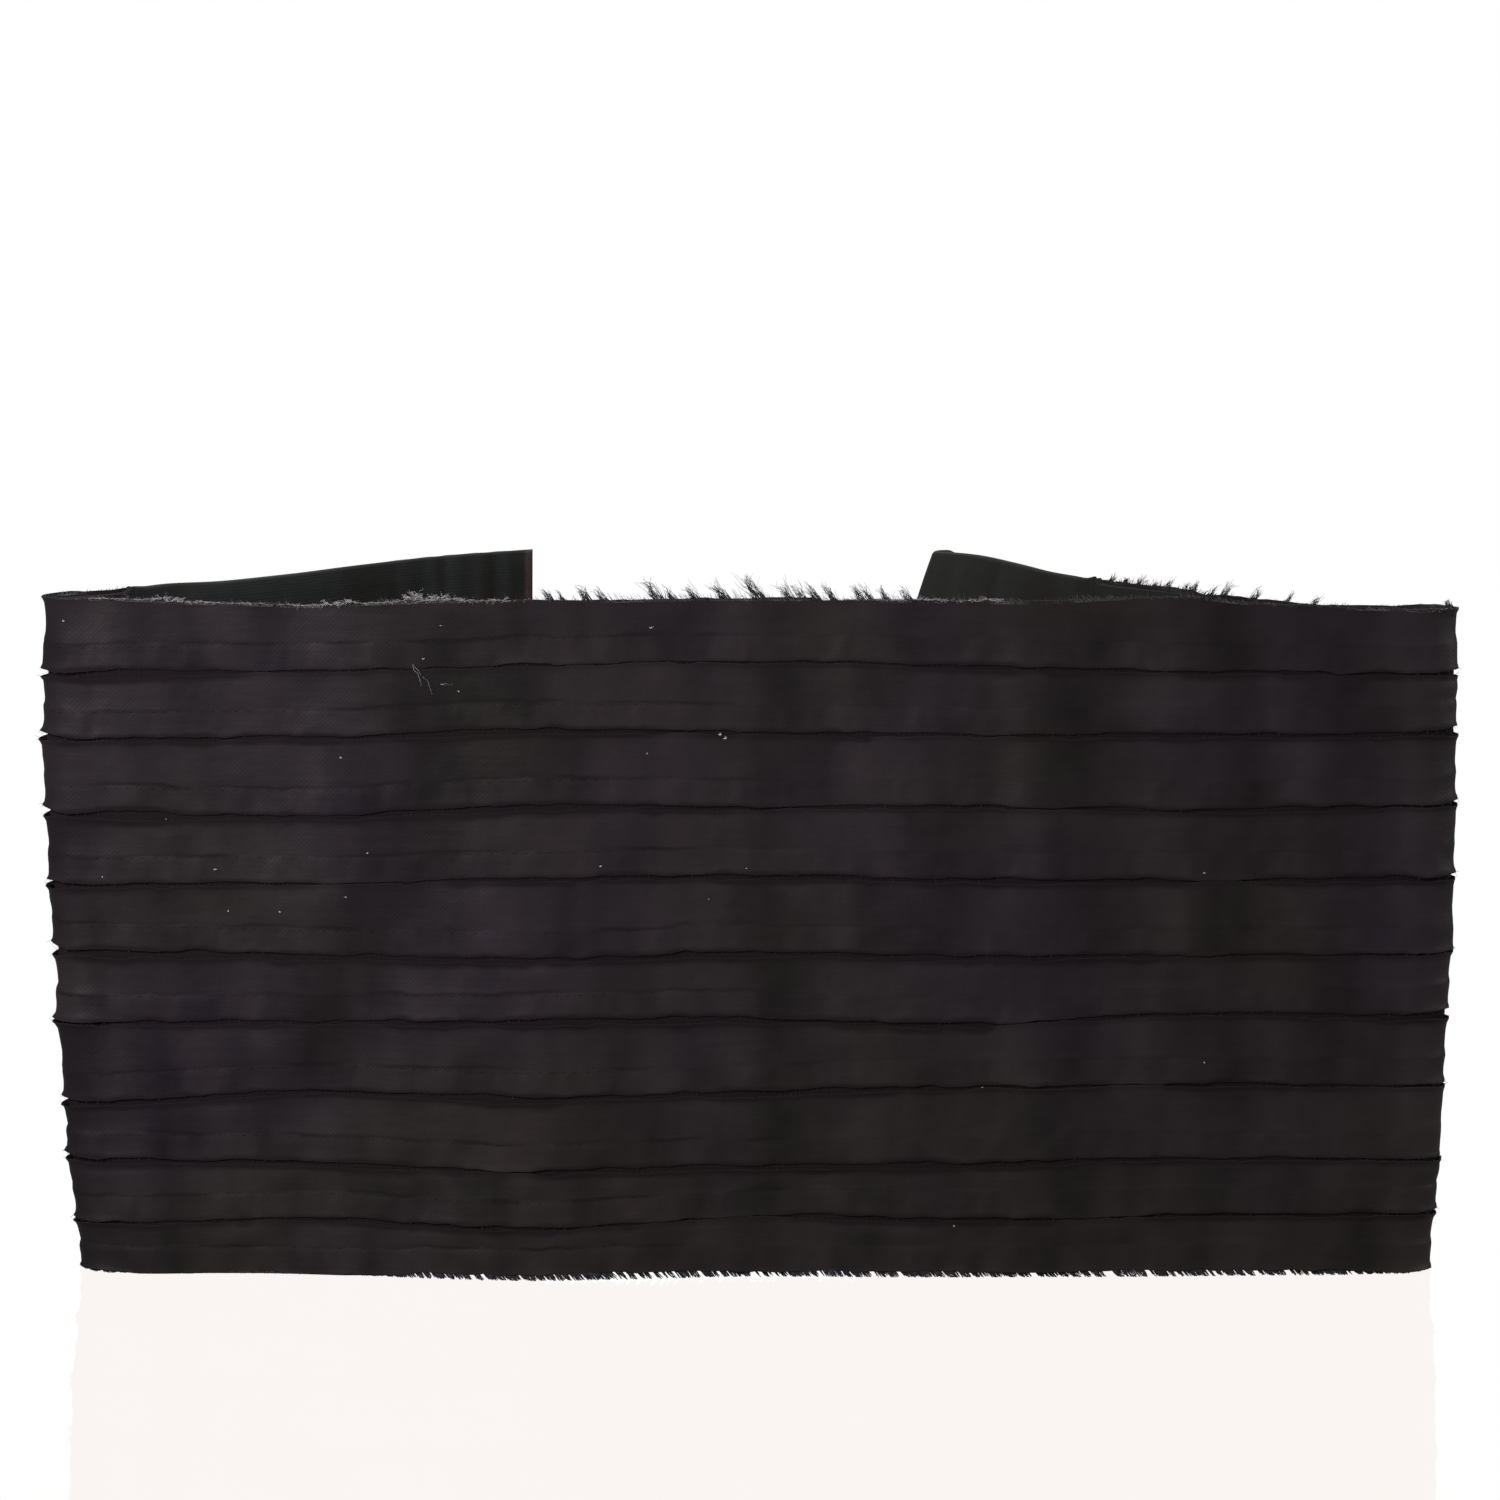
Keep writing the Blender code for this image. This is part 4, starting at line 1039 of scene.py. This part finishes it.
pleated = columns_between(SEAM_LEFT + MM, SEAM_RIGHT - MM, 0.5 * MM)
dense_end = columns_between(236.2 * MM, SEAM_RIGHT - 0.8 * MM, 0.5 * MM)
fray = threads("frayed_upper_edge", [serration(pleated), serration(dense_end)],
               spacing=0.32, thickness=0.18, curl=0.9, curl_size=1.8, seed=3)
tufted = threads("tufts_of_thread", tufts(), spacing=0.14, thickness=0.16, curl=0.8, curl_size=1.8, seed=4)
rims = [rim(columns_between(start * MM, end * MM, 0.25 * MM)) for start, end in RIM_ENDS]
pale_rim = threads("curled_pale_rim", rims, spacing=0.17, thickness=0.16, curl=1.7, curl_size=0.55, seed=5,
                   points=8)

# %% [markdown]
# The lower edge frays as well. Between the folds the cloth stands a little above the floor on its own
# threads, which lean down to the right in dense tufts. Where a thread would dip into the floor, the tree
# has bent it along the floor. The light comes through only at the slashes between the tufts: the large
# ones were read from the photograph, and the small ones fall at random.

# %% The frayed lower edge
HEM_SLASHES = (  # place of each large slash along the cloth, in mm
    -82.9, -75.7, -72.9, -62.9, -56.2, -53.6, -37.7, -34.9, -31.8, -28.2, -25.7, -22.3, -15.1, -9.8, -1.0,
    1.3, 4.6, 17, 31, 38.5, 50, 57, 73, 86.0, 88.4, 92.4, 93.6, 104.2, 111.1, 119.9, 121.3, 132.9, 140.9,
    146.5, 158, 190, 214, 236,
)
HEM_PITCH = (1.6 * MM, 4.5 * MM)
SMALL_SLASH = (0.30 * MM, 0.60 * MM)
LARGE_SLASH = (0.9 * MM, 1.35 * MM)
LEAST_TUFT = 0.3 * MM
HEM_ROOTS = 8
HEM_SLANT = 0.8
HEM_REACH = 1.5


def hem_tufts():
    """Short runs of roots along the lower edge, with a slash of light between them."""
    luck = np.random.default_rng(24)
    places = SEAM_LEFT + 2 * MM + np.cumsum(luck.uniform(*HEM_PITCH, 400))
    slashes = [(place, luck.uniform(*SMALL_SLASH)) for place in places if place < SEAM_RIGHT - 2 * MM]
    slashes += [(place * MM, luck.uniform(*LARGE_SLASH)) for place in HEM_SLASHES]
    slashes.sort()
    rows = []
    for (place, width), (after, _) in zip(slashes, slashes[1:]):
        if after - place - width < LEAST_TUFT:
            continue
        along = np.linspace(place + width, after, HEM_ROOTS)
        edge = hem_edge(along)
        roots = on_cloth(along, edge + 0.5 * MM, STRIP_OUT - 0.25 * MM)
        ends_even = 1 - 0.25 * np.abs(np.linspace(-1, 1, HEM_ROOTS)) ** 3
        length = HEM_REACH * ends_even * (edge + 0.2 * MM)
        rows.append((roots, across(along, edge, HEM_SLANT, -1.0, 0.1), length, np.full(HEM_ROOTS, 0.02)))
    return rows


hem_fray = threads("frayed_lower_edge", hem_tufts(), spacing=0.15, thickness=0.38, curl=0.3, curl_size=1.6,
                   seed=6, points=4, stray=0.08, shortest=0.8, tip=0.6)
lowest = min(point.co.z for point in hem_fray.data.vertices)
print("lowest thread, mm above the floor:", lowest / MM)

# %% [markdown]
# Every raw edge of a strip is hairy, and at the side folds the hairs stand up as small spikes. So both
# edges of all crevices get a guide too, with longer threads where the cloth turns.

# %% Fuzz on the raw edges of the strips


def edge_fuzz(number, is_lower):
    """Roots, directions, lengths and paleness of the fuzz along one edge of one strip."""
    along = columns_between(SEAM_LEFT + 3 * MM, SEAM_RIGHT - 3 * MM, MM)
    lower, upper = strip_edges(number, along)
    size = upper - lower
    above = 0.15 * MM if is_lower else size - 0.15 * MM
    height = lower + above
    out = strip_face(number, along, above, size) + creased(CREASES, along, height)
    turn = near(along, LEFT_FOLD) + 0.6 * near(along, RIGHT_FOLD)
    seed = 300 + 4 * number + is_lower
    way = across(along, height, wander(along, 2 * MM, seed), (-1.0 if is_lower else 1.0) * (1 - 0.4 * turn),
                 0.35 + 0.9 * turn)
    length = 0.75 + 0.25 * wander(along, 5 * MM, seed + 50) + 0.9 * turn
    shade = 0.03 + 0.03 * wander(along, 9 * MM, seed + 70)
    return on_cloth(along, height, out - 0.2 * MM), way, length * MM, shade


edges = [edge_fuzz(number, True) for number in range(len(CREVICES))]
edges += [edge_fuzz(number, False) for number in range(1, len(CREVICES) + 1)]
fuzz = threads("fuzz_in_crevices", edges, spacing=2.7, thickness=0.14, curl=1.1, curl_size=1.4, seed=9)

# %% [markdown]
# The stitches are a second tree. It sets one short, slightly arched thread on each point of a row, turns
# its length to the row and its back to the cloth, and leaves a gap before the next. The rows lie in the
# grooves of the strips, and again inside the band, where the same stitches come through the base cloth.
# On the right of the front they hardly show in the photograph, so there the groove is shallower and the
# thread lies about 0.1 mm under the face of the cloth.

# %% A tree that sews


def running_stitches():
    """A tree that lays stitches along a guide."""
    tree = bpy.data.node_groups.new("running stitches", "GeometryNodeTree")
    given = group_inputs(tree, Geometry=["Row"], Float=["Pitch", "Half stitch", "Thickness"],
                         Material=["Material"])
    path = add(tree, "GeometryNodeMeshToCurve", {"Mesh": given["Row"]})
    places = add(tree, "GeometryNodeResampleCurve", {"Curve": path, "Length": given["Pitch"]}, mode="LENGTH")
    tangent = add(tree, "GeometryNodeInputTangent")
    outwards = add(tree, "GeometryNodeInputNamedAttribute", {"Name": "lean"}, data_type="FLOAT_VECTOR")
    lengthwise = add(tree, "FunctionNodeAlignRotationToVector", {"Vector": tangent}, axis="X")
    facing = add(tree, "FunctionNodeAlignRotationToVector", {"Rotation": lengthwise, "Vector": outwards},
                 axis="Z", pivot_axis="X")
    back, sunk, raised = (
        add(tree, "ShaderNodeMath", {0: given[size], 1: share}, operation="MULTIPLY")
        for size, share in (("Half stitch", -1.0), ("Thickness", -0.6), ("Thickness", 0.5)))
    start = add(tree, "ShaderNodeCombineXYZ", {"X": back, "Z": sunk})
    middle = add(tree, "ShaderNodeCombineXYZ", {"Z": raised})
    end = add(tree, "ShaderNodeCombineXYZ", {"X": given["Half stitch"], "Z": sunk})
    arch = add(tree, "GeometryNodeCurveQuadraticBezier",
               {"Resolution": 2, "Start": start, "Middle": middle, "End": end})
    sewn = add(tree, "GeometryNodeInstanceOnPoints",
               {"Points": places, "Instance": swept(tree, given, arch), "Rotation": facing})
    return put_out(tree, given, sewn)


STITCHES = running_stitches()
print("running stitches, nodes:", len(STITCHES.nodes))

# %% Rows of stitches outside and inside
DRAWN_IN = 0.24 * MM  # how much deeper the thread would lie where a row doesn't show at all
SEAM_SIDE = 3 * MM


def stitch_row(number, inside):
    """One row: its points and the way its stitches face."""
    along = columns_between(SEAM_LEFT + 2 * MM, SEAM_RIGHT - 2 * MM, MM)
    lower, upper = strip_edges(number, along)
    centre = lower if number == len(CREVICES) else crevice_line(number, along)
    height = centre + STITCHES_AT
    if inside:
        out = creased(CREASES, along, height) - BASE_HALF
        return on_cloth(along, height, out), across(along, height, 0.0, 0.0, -1.0)
    out = strip_face(number, along, height - lower, upper - lower) + creased(CREASES, along, height)
    out = out - (1 - rows_show(along)) * DRAWN_IN
    return on_cloth(along, height, out), across(along, height, 0.0, 0.0, 1.0)


def seam_row(along_place, out, facing):
    """A row that goes up a seam."""
    height = np.linspace(3 * MM, HEIGHT - 5 * MM, 60)
    along = np.full(60, along_place)
    return on_cloth(along, height, out), across(along, height, 0.0, 0.0, facing)


rows = [stitch_row(number, inside) for number in range(len(CREVICES) + 1) for inside in (False, True)]
rows += [seam_row(place, side * PANEL_HALF, side)
         for place in (SEAM_LEFT - SEAM_SIDE, SEAM_RIGHT + SEAM_SIDE) for side in (1.0, -1.0)]
points, facings = zip(*rows)
sewing_lines = guide("stitch rows", points, lean=facings)
sewing = grown("rows_of_stitches", sewing_lines, STITCHES, {
    "Pitch": 3.0 * MM, "Half stitch": 0.95 * MM, "Thickness": 0.24 * MM, "Material": sewing_thread})

# %% [markdown]
# Black cloth shows every bit of lint. The specks in the photograph are placed one by one, as tiny knots
# of pale fibre grown by the thread tree, and two longer fibres lie curled on the second strip.

# %% Lint
LINT = (  # place along the cloth, height and size, in mm
    (-175, 171.0, 0.8), (-83, 162.3, 1.0), (-78.5, 171.0, 0.6), (-104, 136.5, 0.9), (-98, 111.8, 0.8),
    (-138, 106.8, 1.0), (-167, 104.8, 0.7), (-25.5, 170.2, 1.2), (-7.8, 142.5, 1.3), (-6.5, 141.5, 1.3),
    (-26.5, 137.9, 0.6), (-38.5, 108.9, 0.9), (-1, 107.9, 0.6), (-135, 96.0, 0.7), (-121.5, 96.0, 0.7),
    (-104, 100.2, 0.8), (-10.8, 99.8, 0.6), (115.5, 106.6, 0.8), (117, 56.9, 0.7), (53.5, 13.8, 0.7),
    (-74, 154.0, 0.5), (60, 50.5, 0.5), (-150, 120.0, 0.4), (205, 118.0, 0.6), (238, 64.0, 0.7),
    (262, 142.0, 0.5),
)
LINT_OUT = 2.45 * MM


def speck(place, height, size):
    """A short run of roots for one speck."""
    along = np.array([place - 0.12 * size, place, place + 0.12 * size]) * MM
    level = np.array([height, height + 0.1 * size, height]) * MM
    out = LINT_OUT + creased(CREASES, along, level)
    way = across(along, level, np.array([-0.8, 0.1, 0.8]), 0.6, 0.05)
    return on_cloth(along, level, out), way, np.full(3, 0.5 * size * MM), np.full(3, 0.6)


def long_fibre(place, height, slope, rise, length):
    """Two roots side by side for a long fibre that lies curled on the cloth."""
    along = np.array([place, place + 0.06]) * MM
    level = np.full(2, height * MM)
    way = across(along, level, np.full(2, slope), rise, 0.0)
    out = LINT_OUT + 0.3 * MM + creased(CREASES, along, level)
    return on_cloth(along, level, out), way, np.full(2, length * MM), np.full(2, 0.1)


LONG_FIBRES = ((-85.6, 161.0, 0.45, -0.88, 13.0), (-78.6, 156.0, 0.9, -0.2, 3.5))
specks = [speck(*row) for row in LINT] + [long_fibre(*row) for row in LONG_FIBRES]
lint = threads("specks_of_lint", specks, spacing=0.05, thickness=0.12, curl=1.2, curl_size=0.7, seed=11,
               material=lint_fibre)

# %% [markdown]
# Each piece now gets its material and is tied to the frame: it rides on the root body, and the CAD
# solids that it stands for are hidden.

# %% Finishes, and what each piece stands for


def dress(piece, material, slot, *nodes):
    """Gives a piece its material and ties it to the frame."""
    if material is not None:
        piece.data.materials.clear()
        piece.data.materials.append(material)
    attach(piece, "root")
    if nodes:
        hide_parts(*nodes)


for number, piece in enumerate(strips):
    dress(piece, strip_satin, "pleated_cloth", f"pleat_{number + 1:02d}")
    places = columns_between(SEAM_LEFT, SEAM_RIGHT, COLUMN)
    lower, upper = strip_edges(number, places)
dress(base, base_cotton, "pleated_cloth", "foundation")
dress(left_panel, panel_cloth, "plain_cloth", "back_panel_left")
dress(right_panel, panel_cloth, "plain_cloth", "back_panel_right")
dress(fray, None, "frayed_thread", "fringe_top")
dress(hem_fray, None, "frayed_thread", "fringe_bottom")
for piece in (tufted, pale_rim, fuzz, lint):
    dress(piece, None, "frayed_thread")
dress(sewing, None, "pleated_cloth")

# %% [markdown]
# The stage is a white floor that mirrors the band very faintly, in a white room. A soft lamp stands near
# on the left, in front and above: light that grazes the cloth from one side is what makes shallow folds
# visible on black. Two weaker lamps fill from above and from the right, and one behind gives the glow of
# the room. The camera stands where the fit to the photograph puts it, 1.5 m in front, and looks down by
# 10 degrees.

# %% Floor, light and camera
FLOOR_HALF = 30.0
FLOOR_LIGHT = 0.30
ROOM_LIGHT = 0.25
ROOM_SEEN = 1.02
LAMPS = (  # name, place and target in metres, side in metres and power in watts
    ("soft lamp on the left", (-0.50, -0.64, 0.45), (-0.02, -0.05, 0.09), 0.3, 7.2),
    ("fill from above", (0.15, 0.05, 1.0), (0.0, 0.0, 0.10), 0.6, 4.0),
    ("fill on the right", (0.90, -0.10, 0.30), (0.1, -0.04, 0.09), 0.4, 2.2),
    ("glow of the white room behind", (0.0, 0.90, 1.20), (0.0, 0.0, 0.08), 0.8, 9.0),
)
EYE_DISTANCE = 1.5
EYE_HEIGHT = 0.3974
EYE_TILT = 80.2  # degrees up from straight down


def for_camera(tree, lit, seen):
    """Mixes a shader that lights the scene with one that only the camera sees."""
    rays = add(tree, "ShaderNodeLightPath")
    return add(tree, "ShaderNodeMixShader", {0: rays.outputs["Is Camera Ray"], 1: lit, 2: seen})


def floor():
    """A white floor with a faint mirror image. Its warm glow and the cool mirror add up to white."""
    mesh = bpy.data.meshes.new("floor")
    corners = [(x * FLOOR_HALF, y * FLOOR_HALF, 0) for x, y in ((-1, -1), (1, -1), (1, 1), (-1, 1))]
    mesh.from_pydata(corners, [], [(0, 1, 2, 3)])
    material = bpy.data.materials.new("white gloss laminate floor")
    material.use_nodes = True
    tree = material.node_tree
    tree.nodes.clear()
    glow = add(tree, "ShaderNodeEmission", {"Color": linear("#faf4f2"), "Strength": 1.0})
    mirror = add(tree, "ShaderNodeBsdfGlossy", {"Color": linear("#79a8b3"), "Roughness": 0.04})
    seen = add(tree, "ShaderNodeAddShader", {0: glow, 1: mirror})
    lit = add(tree, "ShaderNodeEmission", {"Color": linear("#ffffff"), "Strength": FLOOR_LIGHT})
    add(tree, "ShaderNodeOutputMaterial", {"Surface": for_camera(tree, lit, seen)})
    mesh.materials.append(material)
    made = bpy.data.objects.new("floor", mesh)
    bpy.context.scene.collection.objects.link(made)
    made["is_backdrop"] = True


def lamp(name, place, target, size, power):
    """A square soft light that points at a target."""
    light = bpy.data.lights.new(name, "AREA")
    light.size = size
    light.energy = power
    made = bpy.data.objects.new(name, light)
    made.location = place
    aim = Vector(target) - Vector(place)
    made.rotation_euler = aim.to_track_quat("-Z", "Y").to_euler()
    bpy.context.scene.collection.objects.link(made)


def white_room():
    """A world that looks white and lights the cloth less brightly than it looks."""
    world = bpy.data.worlds.new("white room")
    world.use_nodes = True
    tree = world.node_tree
    tree.nodes.clear()
    lit, seen = (add(tree, "ShaderNodeBackground", {"Color": linear("#ffffff"), "Strength": strength})
                 for strength in (ROOM_LIGHT, ROOM_SEEN))
    add(tree, "ShaderNodeOutputWorld", {"Surface": for_camera(tree, lit, seen)})
    bpy.context.scene.world = world


floor()
for row in LAMPS:
    lamp(*row)
white_room()

view_settings = bpy.context.scene.view_settings
view_settings.view_transform = "Standard"
view_settings.look = "None"
camera = bpy.data.cameras.new("camera")
camera.lens = 143.2
camera.sensor_width = 36.0
camera.clip_end = 50.0
photographer = bpy.data.objects.new("camera", camera)
photographer.location = (CENTRE[0], -EYE_DISTANCE + CENTRE[1], EYE_HEIGHT)
photographer.rotation_euler = (np.radians(EYE_TILT), 0.0, 0.0)
bpy.context.scene.collection.objects.link(photographer)
bpy.context.scene.camera = photographer
print("camera at", tuple(round(v, 3) for v in photographer.location))

# %% The size, and the end
visual_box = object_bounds()
for word, corners in (("CAD", CAD_BOX), ("visual", visual_box)):
    print(word, "box in mm:", [round((high - low) / MM, 1) for low, high in zip(*corners)])
